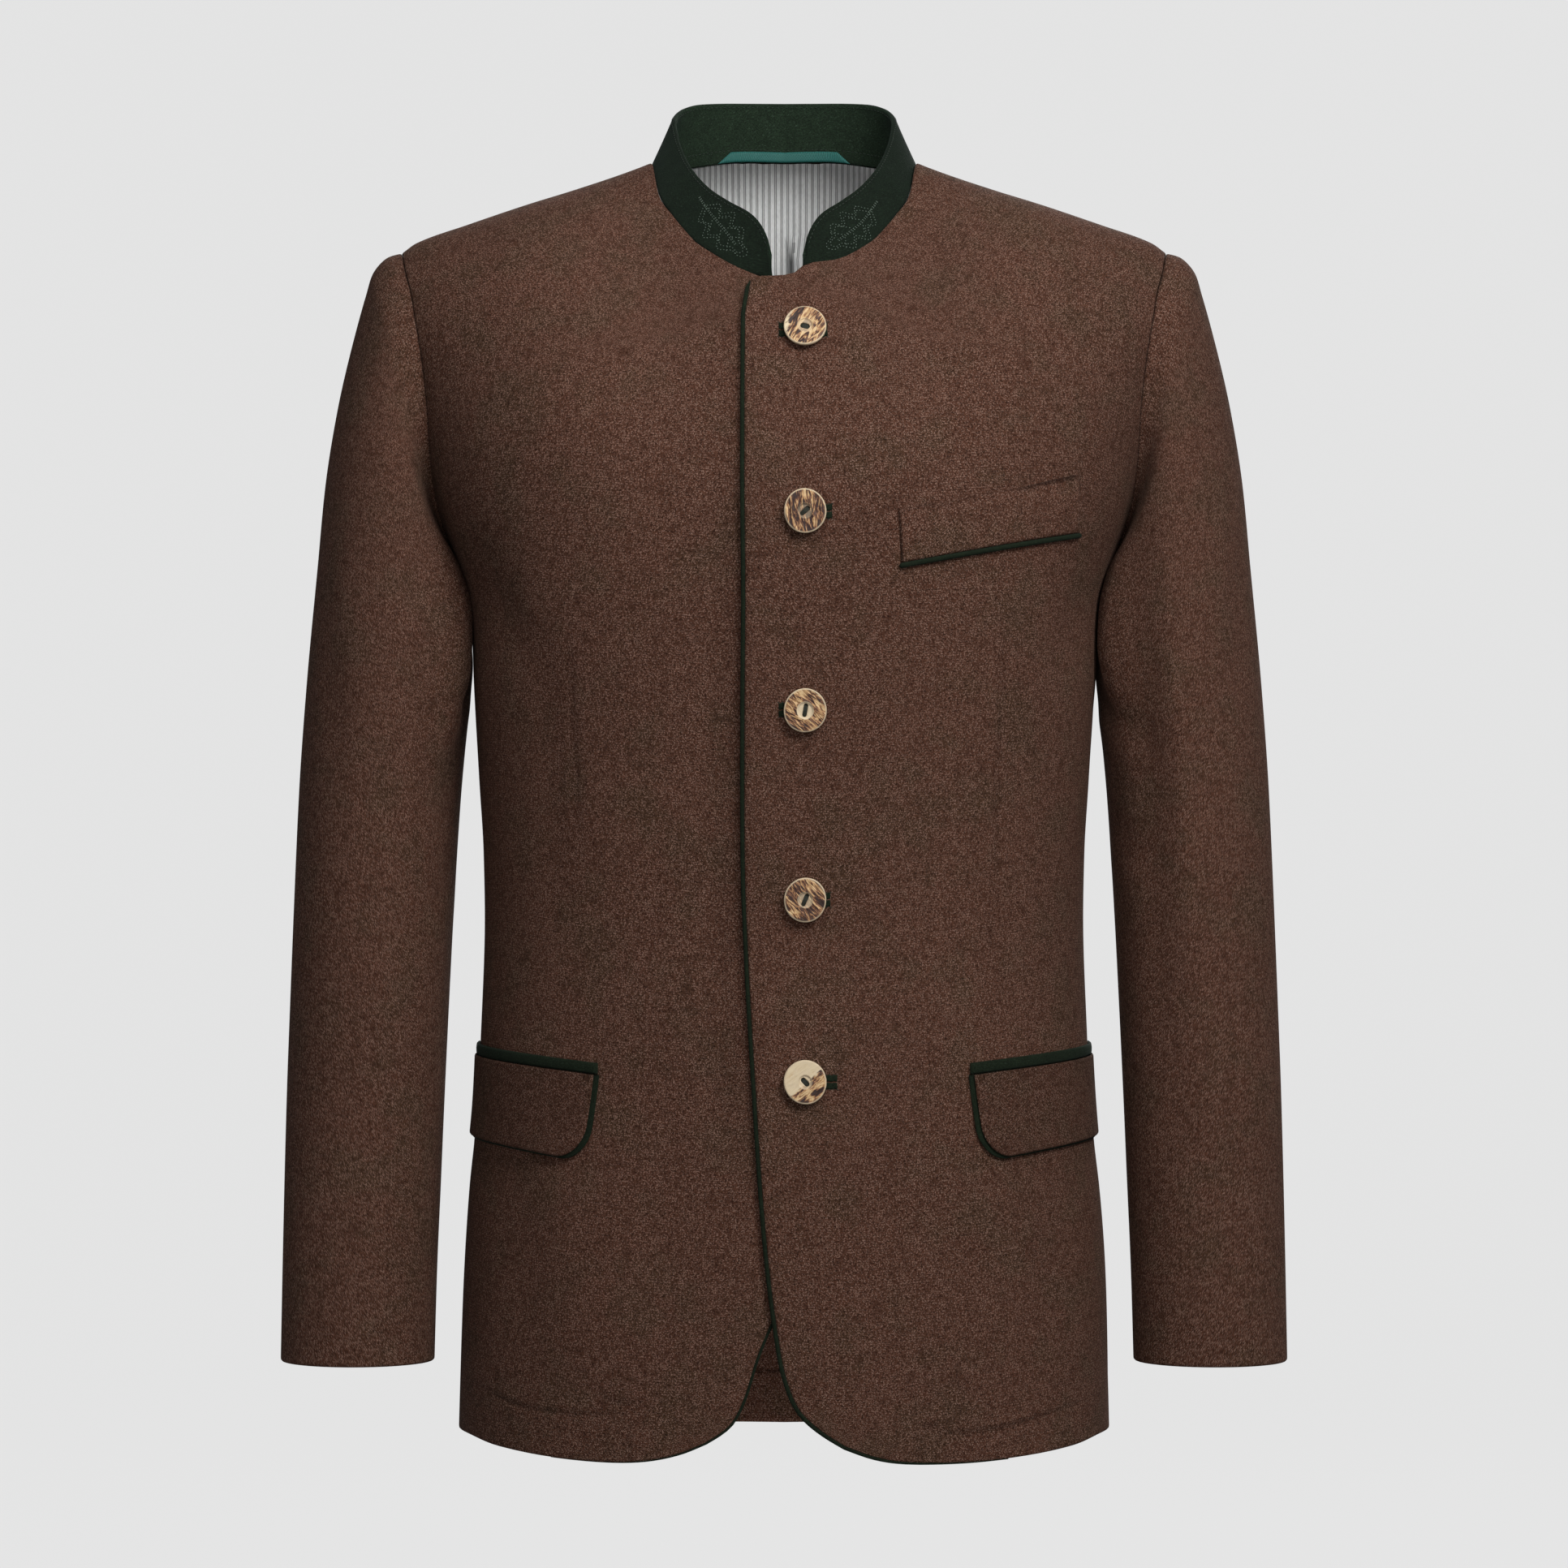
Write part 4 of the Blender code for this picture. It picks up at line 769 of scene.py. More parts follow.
def feltFinish(name, look):
    book = FinishBook(name)
    solid, flat = book.place(), book.place("UV")
    mottle = book.noise(solid, look["mottle"], 3.0, 0.6)
    grain = book.noise(flat, look["grain"], 3.0, 0.7)
    colour = book.blend(book.ease(grain, *look["greens"]), look["deep"], look["green"])
    colour = book.shade(colour, book.spread(mottle, look["mottleGain"]))
    drawn = book.turned(flat, (1.0, look["fibreLong"], 1.0), (0, 0, look["fibreTurn"]))
    lint = book.ease(book.noise(drawn, look["fibreSize"], 1.0), *look["fibres"])
    colour = book.creasedWithPaintedShade(book.blend(lint * look["fibreShows"], colour, look["fibre"]), look["paintedShadeAndLight"])
    return book.finish(look, colour, look["roughness"] - lint * look["fibreSmooth"], mottle, grain)


liningLook = {
    "white": (0.95, 0.955, 0.94),
    "grey": (0.74, 0.74, 0.72),
    "line": (0.27, 0.27, 0.27),
    "period": 0.00372,
    "start": 200.3,                            # in periods; 200 keep the phase above 0 on both sides
    "band": ((0.46, 0.50), (0.90, 0.94)),      # where grey fades in and out, in shares of a period
    "lines": (((0.47, 0.51), (0.58, 0.62)), ((0.74, 0.78), (0.84, 0.88))),
    "weave": 0.00032,
    "weaveLong": 9.0,
    "weaveGain": 0.5,
    "cloud": 0.012,       # size of the soft unevenness
    "cloudGain": 0.25,
    "paintedShadeAndLight": 0.6,
    "roughness": 0.50,
    "relief": ((0.3, 0.0001), (0.4, 0.0012)),
    "shine": {"Specular IOR Level": 0.35},
}


def liningFinish(name, look):
    book = FinishBook(name)
    flat = book.place("UV")
    phase = book.maths("FRACT", book.parts(flat)[0] / look["period"] + look["start"])

    def stripe(comes, goes):
        return book.ease(phase, *comes) * (1.0 - book.ease(phase, *goes))

    band = stripe(*look["band"])
    first, second = (stripe(*place) for place in look["lines"])
    colour = book.blend(first + second, book.blend(band, look["white"], look["grey"]), look["line"])
    weave = book.noise(book.turned(flat, (1.0, look["weaveLong"], 1.0)), look["weave"], 1.0)
    cloud = book.noise(flat, look["cloud"], 2.0)
    uneven = book.spread(weave, look["weaveGain"]) * book.spread(cloud, look["cloudGain"])
    colour = book.creasedWithPaintedShade(book.shade(colour, uneven), look["paintedShadeAndLight"])
    return book.finish(look, colour, look["roughness"], weave, cloud)


ribbonLook = {
    "teal": (0.012, 0.125, 0.105), "deep": (0.006, 0.060, 0.052), "light": (0.05, 0.26, 0.22),
    "slant": 38, "ribs": 420.0, "waver": 1.2, "grain": 0.0006, "weaveShare": 0.6,
    "teals": (0.3, 0.7), "lights": (0.60, 0.72), "lightShows": 0.35, "roughness": 0.62, "ribSmooth": 0.1,
    "relief": ((0.5, 0.0002), (0.3, 0.0001)), "shine": {"Sheen Weight": 0.1, "Specular IOR Level": 0.3},
}


def ribbonFinish(name, look):
    book = FinishBook(name)
    flat = book.place("UV")
    slant = book.turned(flat, turn=(0, 0, math.radians(look["slant"])))
    inputs = {"Vector": slant, "Scale": look["ribs"], "Distortion": look["waver"]}
    weave = book.node("ShaderNodeTexWave", inputs, "Fac", bands_direction="X")
    grain = book.noise(flat, look["grain"], 2.0)
    woven = weave * look["weaveShare"] + grain * (1 - look["weaveShare"])
    colour = book.blend(book.ease(woven, *look["teals"]), look["deep"], look["teal"])
    colour = book.blend(book.ease(grain, *look["lights"]) * look["lightShows"], colour, look["light"])
    return book.finish(look, colour, look["roughness"] - weave * look["ribSmooth"], weave, grain)


hornLook = {
    "cream": (0.66, 0.53, 0.34),
    "pale": (0.64, 0.51, 0.34),
    "bark": [
        (0.34, (0.028, 0.010, 0.006)), (0.43, (0.125, 0.048, 0.022)), (0.49, (0.285, 0.130, 0.060)),
        (0.56, (0.470, 0.270, 0.110)), (0.66, (0.640, 0.450, 0.240)),
    ],
    "streak": 0.0037, "streakLong": 4.4, "streakWaver": 2.2, "streakShare": 0.70, "streakGain": 2.3,
    "fine": 0.0007, "fineLong": 5.0, "cloud": 0.0060,
    "creams": (0.36, 0.52), "clouds": (0.45, 0.62), "cloudShows": 0.6, "barkEdge": (0.30, 0.62), "barkRagged": 1.6,
    "roughness": 0.42, "barkRough": 0.25, "relief": ((0.7, 0.0006),),
    "shine": {"Specular IOR Level": 0.4, "Coat Weight": 0.08, "Coat Roughness": 0.35},
}


def hornFinish(name, look, shift, darker):
    # on the top's own flat coordinates: bark streaks run along the second one; rim and recess are cut pale
    book = FinishBook(name)
    flat = book.turned(book.place("UV"), shift=(shift * 0.37, shift * 0.11, 0))
    drawn = book.turned(flat, (1.0, look["streakLong"], 1.0))
    streak = book.noise(drawn, look["streak"], 5.0, 0.62, look["streakWaver"])
    fine = book.noise(book.turned(flat, (1.0, look["fineLong"], 1.0)), look["fine"], 3.0, 0.6, 0.5)
    cloud = book.noise(flat, look["cloud"], 2.0)
    value = streak * look["streakShare"] + fine * (1 - look["streakShare"])
    streaks = book.ramp((value - 0.5) * look["streakGain"] + 0.5 - darker, look["bark"])
    plain = book.blend(0.4, look["cream"], look["bark"][3][1])
    plain = book.blend(book.ease(value, *look["creams"]), plain, look["cream"])
    plain = book.blend(book.ease(cloud, *look["clouds"]) * look["cloudShows"], plain, look["pale"])
    covered = book.ease(book.attribute("bark") + (value - 0.5) * -look["barkRagged"], *look["barkEdge"])
    colour = book.blend(book.attribute("cut"), book.blend(covered, plain, streaks), look["pale"])
    return book.finish(look, colour, look["roughness"] + covered * look["barkRough"], value)


threadLook = {
    "grain": 0.0006, "lights": (0.35, 0.65), "roughness": (0.6, 0.2), "relief": ((0.4, 0.0001),),
    "shine": {"Sheen Weight": 0.1, "Specular IOR Level": 0.3},
}


def threadFinish(name, colour, light):
    book, look = FinishBook(name), threadLook
    grain = book.noise(book.place(), look["grain"], 2.0)
    colour = book.blend(book.ease(grain, *look["lights"]), colour, light)
    return book.finish(look, colour, look["roughness"][0] + grain * look["roughness"][1], grain)


finishes = {
    "front": lodenFinish("loden_front", lodenLook),
    "back": lodenFinish("loden_back", lodenLook),
    "sleeve": lodenFinish("loden_sleeve", lodenLook, 12.0),
    # the chest welt's copy is 6 % lighter, as painted light, and the flaps' 20 % darker, as painted shade
    "pocket": lodenFinish("loden_pocket", lodenLook, 30.0, 1.06),
    "flap": lodenFinish("loden_flap", lodenLook, 30.0, 0.80),
    "felt": feltFinish("felt_green", feltLook),
    "edging": feltFinish("felt_edging", edgingLook),
    "lining": liningFinish("lining_striped", liningLook),
    "ribbon": ribbonFinish("hanger_ribbon", ribbonLook),
    "leafThread": threadFinish("thread_leaf", (0.055, 0.085, 0.060), (0.135, 0.175, 0.140)),
    "edgeThread": threadFinish("thread_edge", (0.009, 0.016, 0.010), (0.022, 0.034, 0.022)),
    "buttonThread": threadFinish("thread_button", (0.010, 0.012, 0.008), (0.030, 0.032, 0.022)),
}
print("finishes made:", len(finishes))


# stitches: a node tree that sews along lines
stitchInputs = {"Stitch Length": 0.002, "Gap": 0.001, "Thread Radius": 0.0002, "Slant": 0.0, "Jitter": 0.06}


def stitchTree():
    tree = bpy.data.node_groups.new("stitches_along_lines", "GeometryNodeTree")
    face = tree.interface
    face.new_socket(name="Geometry", in_out="INPUT", socket_type="NodeSocketGeometry")
    for label, value in stitchInputs.items():
        face.new_socket(name=label, in_out="INPUT", socket_type="NodeSocketFloat").default_value = value
    face.new_socket(name="Thread", in_out="INPUT", socket_type="NodeSocketMaterial")
    face.new_socket(name="Geometry", in_out="OUTPUT", socket_type="NodeSocketGeometry")

    book = NodeBook(tree)
    start = tree.nodes.new("NodeGroupInput")
    geometry, long, gap, thick, slant, jitter, thread = (book.take(start, k) for k in range(7))
    curve = book.node("GeometryNodeMeshToCurve", {0: geometry})
    inputs = {"Curve": curve, "Length": book.maths("ADD", long, gap)}
    sampled = book.node("GeometryNodeResampleCurve", inputs, mode="LENGTH")
    tangent = book.node("GeometryNodeInputTangent")
    upward = book.node("GeometryNodeInputNamedAttribute", {"Name": "up"}, data_type="FLOAT_VECTOR")
    lying = book.node("FunctionNodeAlignRotationToVector", {"Vector": tangent}, axis="X")
    inputs = {"Rotation": lying, "Vector": upward}
    standing = book.node("FunctionNodeAlignRotationToVector", inputs, axis="Z", pivot_axis="X")
    chance = book.node("FunctionNodeRandomValue", {2: -1.0, 3: 1.0, "Seed": 7}, 1, data_type="FLOAT")
    wobble = book.node("ShaderNodeCombineXYZ", {"Z": book.maths("MULTIPLY_ADD", chance, jitter, slant)})
    inputs = {0: standing, 1: book.node("FunctionNodeEulerToRotation", {0: wobble})}
    turned = book.node("FunctionNodeRotateRotation", inputs, rotation_space="LOCAL")
    ball = book.node("GeometryNodeMeshUVSphere", {"Segments": 7, "Rings": 5, "Radius": 1.0})
    size = book.node("ShaderNodeCombineXYZ", {"X": long * 0.5, "Y": thick, "Z": thick})
    stitch = book.node("GeometryNodeTransform", {"Geometry": ball, "Scale": size})
    inputs = {"Points": sampled, "Instance": stitch, "Rotation": turned}
    real = book.node("GeometryNodeRealizeInstances", {0: book.node("GeometryNodeInstanceOnPoints", inputs)})
    coloured = book.node("GeometryNodeSetMaterial", {"Geometry": real, "Material": thread})
    book.node("NodeGroupOutput", {0: coloured})
    return tree


sewing = stitchTree()


def sew(name, lines, thread, *sizes):
    # lines is a list of (points, ways out) on the cloth; sizes come in the order of stitchInputs
    points, ups = (np.vstack([line[k] for line in lines]) for k in (0, 1))
    edges, first = [], 0
    for line, _ in lines:
        edges += [(k, k + 1) for k in range(first, first + len(line) - 1)]
        first += len(line)
    mesh = bpy.data.meshes.new(name + "_lines")
    mesh.from_pydata(points.tolist(), edges, [])
    mesh.attributes.new("up", "FLOAT_VECTOR", "POINT").data.foreach_set("vector", ups.astype(np.float32).ravel())
    guide = link(name + "_lines", mesh)
    maker = guide.modifiers.new("sewing", "NODES")
    maker.node_group = sewing
    wanted = dict(zip(stitchInputs, sizes), Thread=thread)
    for item in sewing.interface.items_tree:
        if item.item_type == "SOCKET" and item.in_out == "INPUT" and item.name in wanted:
            maker[item.identifier] = wanted[item.name]
    made = bpy.data.meshes.new_from_object(guide.evaluated_get(bpy.context.evaluated_depsgraph_get()))
    made.name = name
    bpy.data.objects.remove(guide)
    made.shade_smooth()
    return link(name, made)


def keep(piece, slot, *nodes):
    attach(piece, "root")
    if nodes:
        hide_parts(*nodes)


# fronts and back
panelGrid = {
    "rowStep": 0.0042,     # metres between rows of the mesh
    "hemRows": 34,         # close rows over the turned-up hem
    "hemShare": 0.085,
    "stretches": (0.45, 0.036, 0.110),      # rough lengths above it, up to each mark
    "besideSeam": (-0.0048, -0.0022, 0.0022, 0.0048),
    "edgeRows": (0.0008, 0.0020, 0.9930, 0.9970, 1.0),
    "front": (75, (0.0030, 0.0065, 0.9935, 0.9970)),          # columns: even ones, and close ones at the edges
    "back": (149, (0.0014, 0.0032, 0.3, 0.7, 0.9968, 0.9986)),
}


def panelRows():
    marks = [panelGrid["hemShare"], rowsAt["underarm"], rowsAt["backSleeveSeam"], 1.0]
    rows = [np.linspace(0, marks[0], panelGrid["hemRows"], endpoint=False), panelGrid["edgeRows"]]
    for start, end, length in zip(marks, marks[1:], panelGrid["stretches"]):
        rows.append(np.linspace(start, end, round(length / panelGrid["rowStep"]), endpoint=False))
    rows += [seam + np.array(panelGrid["besideSeam"]) for seam in marks[1:3]]
    return np.unique(np.round(np.concatenate(rows), 7))


vs = panelRows()
frontUs, backUs = sharesOf(*panelGrid["front"]), sharesOf(*panelGrid["back"])
panels = {  # points, ways out and painted shade of each
    "front_left": bodyWall(frontPlaces(leftFront, frontUs, vs), 1, True),
    "front_right": bodyWall(frontPlaces(rightFront, frontUs, vs), -1, False),
    "back": bodyWall(backPlaces(backUs, vs), 1, False),
}
print("panels worked out:", len(vs), "rows")

# sleeves
sleeveForm = Table(("along", "outerX", "outerZ", "innerX", "innerZ", "halfDepth", "middleY"), [
    (0, 0.2235, -0.0530, 0.1875, -0.2360, 0.0620, 0.006),
    (1, 0.2310, -0.0550, 0.1915, -0.2375, 0.0630, 0.006),
    (2, 0.2398, -0.0640, 0.1925, -0.2400, 0.0645, 0.006),
    (3, 0.2440, -0.0770, 0.1920, -0.2440, 0.0660, 0.006),
    (4, 0.2496, -0.0970, 0.1889, -0.2510, 0.0680, 0.006),
    (5, 0.2600, -0.1410, 0.1866, -0.2610, 0.0700, 0.006),
    (6, 0.2676, -0.1880, 0.1848, -0.2750, 0.0705, 0.006),
    (7, 0.2721, -0.2360, 0.1834, -0.2930, 0.0700, 0.005),
    (8, 0.2783, -0.3028, 0.1860, -0.3230, 0.0680, 0.004),
    (9, 0.2825, -0.3630, 0.1900, -0.3670, 0.0640, 0.002),
    (10, 0.2852, -0.4263, 0.1938, -0.4280, 0.0595, -0.001),
    (11, 0.2872, -0.4840, 0.1965, -0.4840, 0.0560, -0.005),
    (12, 0.2889, -0.5400, 0.1989, -0.5400, 0.0530, -0.010),
    (13, 0.2900, -0.5950, 0.2010, -0.5950, 0.0505, -0.015),
    (14, 0.2907, -0.6450, 0.2029, -0.6450, 0.0485, -0.020),
    (15, 0.2913, -0.6965, 0.2041, -0.6965, 0.0470, -0.025),
])
sleeves = {
    "headEnds": 6.0,
    "ringStep": 0.105,     # in the table's own steps along the sleeve
    "closeRings": (0, 0.08, 0.18, 0.30, 0.40, 14.940, 14.964, 14.984, 15),
    "metres": ([0, 6, 15], [0, 0.115, 0.62]),   # rough lengths at those steps
    "radius": 0.055,
    "foldRadius": 0.05,
    # side, degrees round it, from, to, half width in degrees, depth
    "folds": [
        (1, 178, 0.8, 6.6, 34, -0.0020), (-1, 178, 0.8, 6.6, 34, -0.0020), (1, 122, 4.5, 12.5, 13, 0.0030),
        (1, 100, 4.5, 12.5, 14, -0.0018), (1, 60, 9.0, 11.5, 24, 0.0014), (1, 255, 8.0, 11.0, 26, 0.0022),
        (-1, 145, 6.0, 10.0, 15, 0.0018), (-1, 250, 8.0, 11.5, 26, 0.0022),
    ],
    # side, (degrees, along) at both ends, half width in metres, depth
    "drags": [
        (1, (175, 7.6), (110, 8.6), 0.010, 0.0016), (1, (168, 9.2), (118, 9.8), 0.009, 0.0012),
        (1, (30, 6.4), (62, 8.4), 0.012, 0.0010), (1, (-120, 8.2), (-60, 9.6), 0.011, 0.0018),
        (1, (-150, 10.2), (-80, 10.9), 0.010, 0.0014), (1, (100, 12.2), (160, 13.2), 0.010, 0.0008),
        (-1, (172, 7.4), (116, 8.3), 0.010, 0.0014), (-1, (165, 9.6), (120, 10.4), 0.009, 0.0010),
        (-1, (34, 7.0), (70, 9.0), 0.012, 0.0010), (-1, (-118, 8.8), (-62, 9.9), 0.011, 0.0018),
        (-1, (-152, 10.6), (-84, 11.3), 0.010, 0.0014), (-1, (96, 12.6), (150, 13.4), 0.010, 0.0008),
    ],
}
pressed = {  # below the underarm the sleeve's front leans on the body, so no light falls between them
    "turn": 140, "wide": 14, "top": -0.190, "fadeIn": 0.075, "fadeOut": 0.065,
    "deep": {1: 0.0105, -1: 0.0121}, "low": {1: -0.278, -1: -0.300},
}


def sleeveRing(along, angle, side):
    along, angle = np.broadcast_arrays(np.asarray(along, float), np.asarray(angle, float))
    read = {column: sleeveForm.read(column, along) for column in sleeveForm.values if column != "along"}
    size = np.ones(along.shape)
    for where, turn, start, end, wide, deep in sleeves["folds"]:
        if where == side:
            share = np.clip((along - start) / (end - start), 0, 1)
            apart = (np.degrees(angle) - turn + 180) % 360 - 180
            size = size - deep / sleeves["foldRadius"] * np.sin(math.pi * share) * bell(apart, wide)
    x, z = (
        (read["outer" + axis] + read["inner" + axis]) / 2
        + (read["outer" + axis] - read["inner" + axis]) / 2 * np.cos(angle) * size for axis in "XZ"
    )
    y = read["middleY"] - read["halfDepth"] * np.sin(angle) * size
    return joined(side * x, y, z)


def leaningIn(z, stations, angles, side):
    level = smooth((pressed["top"] - z) / pressed["fadeIn"])
    level = level * (1 - smooth((pressed["low"][side] - z) / pressed["fadeOut"]))
    around = bell(np.degrees(angles)[None] - pressed["turn"], pressed["wide"])
    return side * pressed["deep"][side] * level * around * smooth(stations / 2)[:, None]


def draggedIn(stations, angles, side):  # slanting folds laid on the sleeve
    def onFlat(turn, along):
        return turn * sleeves["radius"], np.interp(along, *sleeves["metres"])

    sunk = np.zeros((len(stations), len(angles)))
    for where, (firstTurn, firstAlong), (lastTurn, lastAlong), wide, deep in sleeves["drags"]:
        if where == side:
            start = np.array(onFlat(math.radians(firstTurn), firstAlong))
            step = np.array(onFlat(math.radians(lastTurn), lastAlong)) - start
            length = np.linalg.norm(step)
            for wrap in (-2 * math.pi, 0, 2 * math.pi):
                x, y = onFlat(angles[None] + wrap, stations[:, None])
                t = ((x - start[0]) * step[0] + (y - start[1]) * step[1]) / length ** 2
                d = ((x - start[0]) * step[1] - (y - start[1]) * step[0]) / length
                sunk += deep * bell(t - 0.5, 0.42, 4) * furrow(d, wide, 0.6)
    return sunk


def turnShares(edge):  # from 0 to pi along an edge of the armhole
    reach = reachAlong(edge, 0)
    return math.pi * reach / reach[-1]


def sleeveWalls(side, frontSeam, backSeam):
    seam = np.vstack([frontSeam, backSeam[-2::-1]])
    angles = np.concatenate([math.pi - turnShares(frontSeam), -turnShares(backSeam[::-1])[1:]])
    rings = np.arange(0.5, sleeveForm.keys[-1] - 0.05, sleeves["ringStep"])
    stations = np.unique(np.concatenate([rings, sleeves["closeRings"]]))
    points = sleeveRing(stations[:, None], angles[None, :], side)
    fade = 1 - smooth(stations / sleeves["headEnds"])
    points = points + (seam - sleeveRing(0.0, angles, side))[None] * fade[:, None, None]
    points[..., 0] -= leaningIn(points[..., 2], stations, angles, side)
    points[:, -1] = points[:, 0]
    normals = gridNormals(points[:, :-1], True)
    normals = np.concatenate([normals, normals[:, :1]], axis=1)
    if ((points - points.mean(axis=1, keepdims=True)) * normals).sum() < 0:
        normals = -normals
    sunk = draggedIn(stations, angles, side) * smooth(stations / 3)[:, None]
    sunk[:, -1] = sunk[:, 0]
    return points - normals * sunk[..., None], normals


def sewnSleeve(side, tag, column):
    rows = np.flatnonzero(vs >= rowsAt["underarm"] - 1e-9)
    (frontPoints, frontNormals, _), (backPoints, backNormals, _) = panels["front_" + tag], panels["back"]
    points, normals = sleeveWalls(side, frontPoints[rows, 0], backPoints[rows, column])
    # sleeve and panel meet in a mitre
    seamNormals = np.vstack([frontNormals[rows, 0], backNormals[rows, column][-2::-1]])
    first = normals[0]
    mitres = (first + seamNormals) / (1 + (first * seamNormals).sum(-1, keepdims=True))
    normals[0] = mitres
    frontNormals[rows, 0] = mitres[:len(rows)]
    backNormals[rows, column] = mitres[:len(rows) - 2:-1]
    last = points.shape[1] - 1
    cut = last - int(np.argmin(np.abs(vs[rows] - rowsAt["backSleeveSeam"])))
    for name, columns in {"top": range(cut + 1), "under": [*range(cut, last), 0]}.items():
        grid = pulledIn(points[:, columns], ("left", "right"), cloth["seamPull"])
        grid = pulledIn(grid, ("bottom",), cloth["armholeGap"])
        node = "sleeve_%s_%s" % (tag, name)
        piece = shell("cloth_" + node, grid, normals[:, columns], cloth["loden"], finishes["sleeve"],
                      seams=("bottom",))
        keep(piece, "loden_brown", node)


sewnSleeve(1, "left", 0)
sewnSleeve(-1, "right", -1)
print("sleeves sewn")

# painted light inside the back above the hem, with its top and fade, and the painted shade line at the hem's edge
paintedHemInside = {"light": 3.4, "to": -0.655, "fade": 0.012, "line": -0.718, "lineWide": 0.0007, "wave": (0.0008, 90)}


def paintedHemLightAndShade(points):  # painted light on the back's inside above the hem, and painted shade along the turned-up hem's top edge
    x, z = points[..., 0], points[..., 2]
    line = z - paintedHemInside["line"] + paintedHemInside["wave"][0] * np.sin(x * paintedHemInside["wave"][1])
    light = -paintedHemInside["light"] * smooth((paintedHemInside["to"] - z) / paintedHemInside["fade"])
    return light + (paintedHemInside["light"] + 1) * bell(line, paintedHemInside["lineWide"])


for node, (points, normals, marks) in panels.items():
    seams = ("left", "right", "top") if node == "back" else ("left", "top")
    # edges that get painted shade along their seams
    dark = ("left", "right") if node == "back" else ("left", "top")
    grid = pulledIn(points, seams, cloth["seamPull"])
    inside = paintedHemLightAndShade(grid) if node == "back" else 0.0
    finish = finishes[node.split("_")[0]]
    piece = shell("cloth_" + node, grid, normals, cloth["loden"], finish, marks, dark, inside=inside)
    keep(piece, "loden_brown", node)
print("fronts and back made")

# pipings along the fronts
piping = {
    "step": 0.0045, "hemFrom": 0.60, "hemThin": 0.35, "thickBy": 0.17, "thinTop": 0.0025, "topBelow": 0.0030,
    "outside": 0.9, "thinIn": 0.0004, "narrow": {"left": 0.90, "right": 0.62},
}


def evenly(points, count):
    reach = reachAlong(points, 0)
    wanted = np.linspace(0, reach[-1], count)
    return np.stack([np.interp(wanted, reach, column) for column in points.T], axis=1)


for tag, narrow in piping["narrow"].items():
    # from the hem's front curve up along the front edge
    points, normals, _ = panels["front_" + tag]
    hemPart = np.flatnonzero(frontUs >= piping["hemFrom"])
    edgePart = np.flatnonzero((vs > 0.0004) & (vs <= rowsAt["neckCorner"] - piping["topBelow"]))
    line, facing = (np.vstack([grid[0, hemPart], grid[edgePart, -1]]) for grid in (points, normals))
    line = evenly(line, round(reachAlong(line, 0)[-1] / piping["step"]))
    facing = evenly(facing, len(line))
    out = unit(np.cross(unit(np.gradient(line, axis=0)), facing))
    if (out * (line - points[len(vs) // 3, len(frontUs) // 2])).sum() < 0:
        out = -out
    share = np.linspace(0, 1, len(line))
    full = narrow * mix(piping["hemThin"], 1.0, smooth(share / piping["thickBy"]))
    full = full * mix(piping["hemThin"], 1.0, smooth((1 - share) / piping["thinTop"]))
    radius = cloth["pipingRadius"] * full
    route = line + out * (radius * piping["outside"] - (1 - full) * piping["thinIn"])[:, None]
    keep(tube("edging_front_piping_" + tag, route, radius, finishes["edging"]), "felt_green", "front_piping_" + tag)

# collar
collarTop = Table(("share", "x", "y", "z"), [
    (0.000, 0.0118, -0.0862, -0.0600), (0.022, 0.0130, -0.0835, -0.0510), (0.050, 0.0160, -0.0785, -0.0425),
    (0.085, 0.0215, -0.0725, -0.0350), (0.150, 0.0325, -0.0625, -0.0270), (0.230, 0.0438, -0.0490, -0.0175),
    (0.310, 0.0525, -0.0330, -0.0065), (0.380, 0.0578, -0.0160, 0.0040), (0.460, 0.0620, 0.0040, 0.0170),
    (0.560, 0.0640, 0.0260, 0.0300), (0.660, 0.0610, 0.0440, 0.0370), (0.780, 0.0500, 0.0600, 0.0424),
    (0.880, 0.0300, 0.0715, 0.0443), (1.000, 0.0000, 0.0765, 0.0447),
])
collar = {
    "inside": (0.0010, 0.0012), "down": (0.0016, 0.0024),   # seam behind the neckline, in front and at the back
    "toBack": (0.3, 0.3),                                   # where one passes into the other, from and over
    "endShift": 0.0045, "endReach": (0.018, 0.05),
    "rightDown": 0.0050, "rightDownTo": 0.14, "rightIn": 0.0037, "rightInTo": 0.22,
    "edgeStitch": 0.0026,   # how far in from the edge the row of stitches lies
    "edgeStitchEnds": (0.024, 1.976),
    "paintedGrooveShade": (0.35, 0.0009),               # painted shade in the stitched groove: how dark, and how far to each side
    "bandSeam": 0.0079,     # height of the seam inside the back
    "bandSeamEnds": (0.52, 1.48),
    "columns": 118, "endColumns": (0.0, 0.0012, 0.003, 0.006, 0.0095, 0.0135, 0.018),
    "rows": 24, "edgeRows": (0.012, 0.025, 0.94, 0.955, 0.97, 0.985, 0.993),
    # the inner face is painted lighter, standing in for light
    "turn": 0.46, "roll": 0.0021, "insidePaintedLight": -2.15,
}


def neckSeam(shares):
    front = onSight([leftFront["neckEnd"][0]] + neckline[::-1]) + [shoulderPlace(bodyForm["neckPoint"])]
    places = np.array(front + [placeByDepth(x, y) for x, y in backNeckDepth])
    return alongLine(torsoPoint(places[:, 0], places[:, 1]), shares)


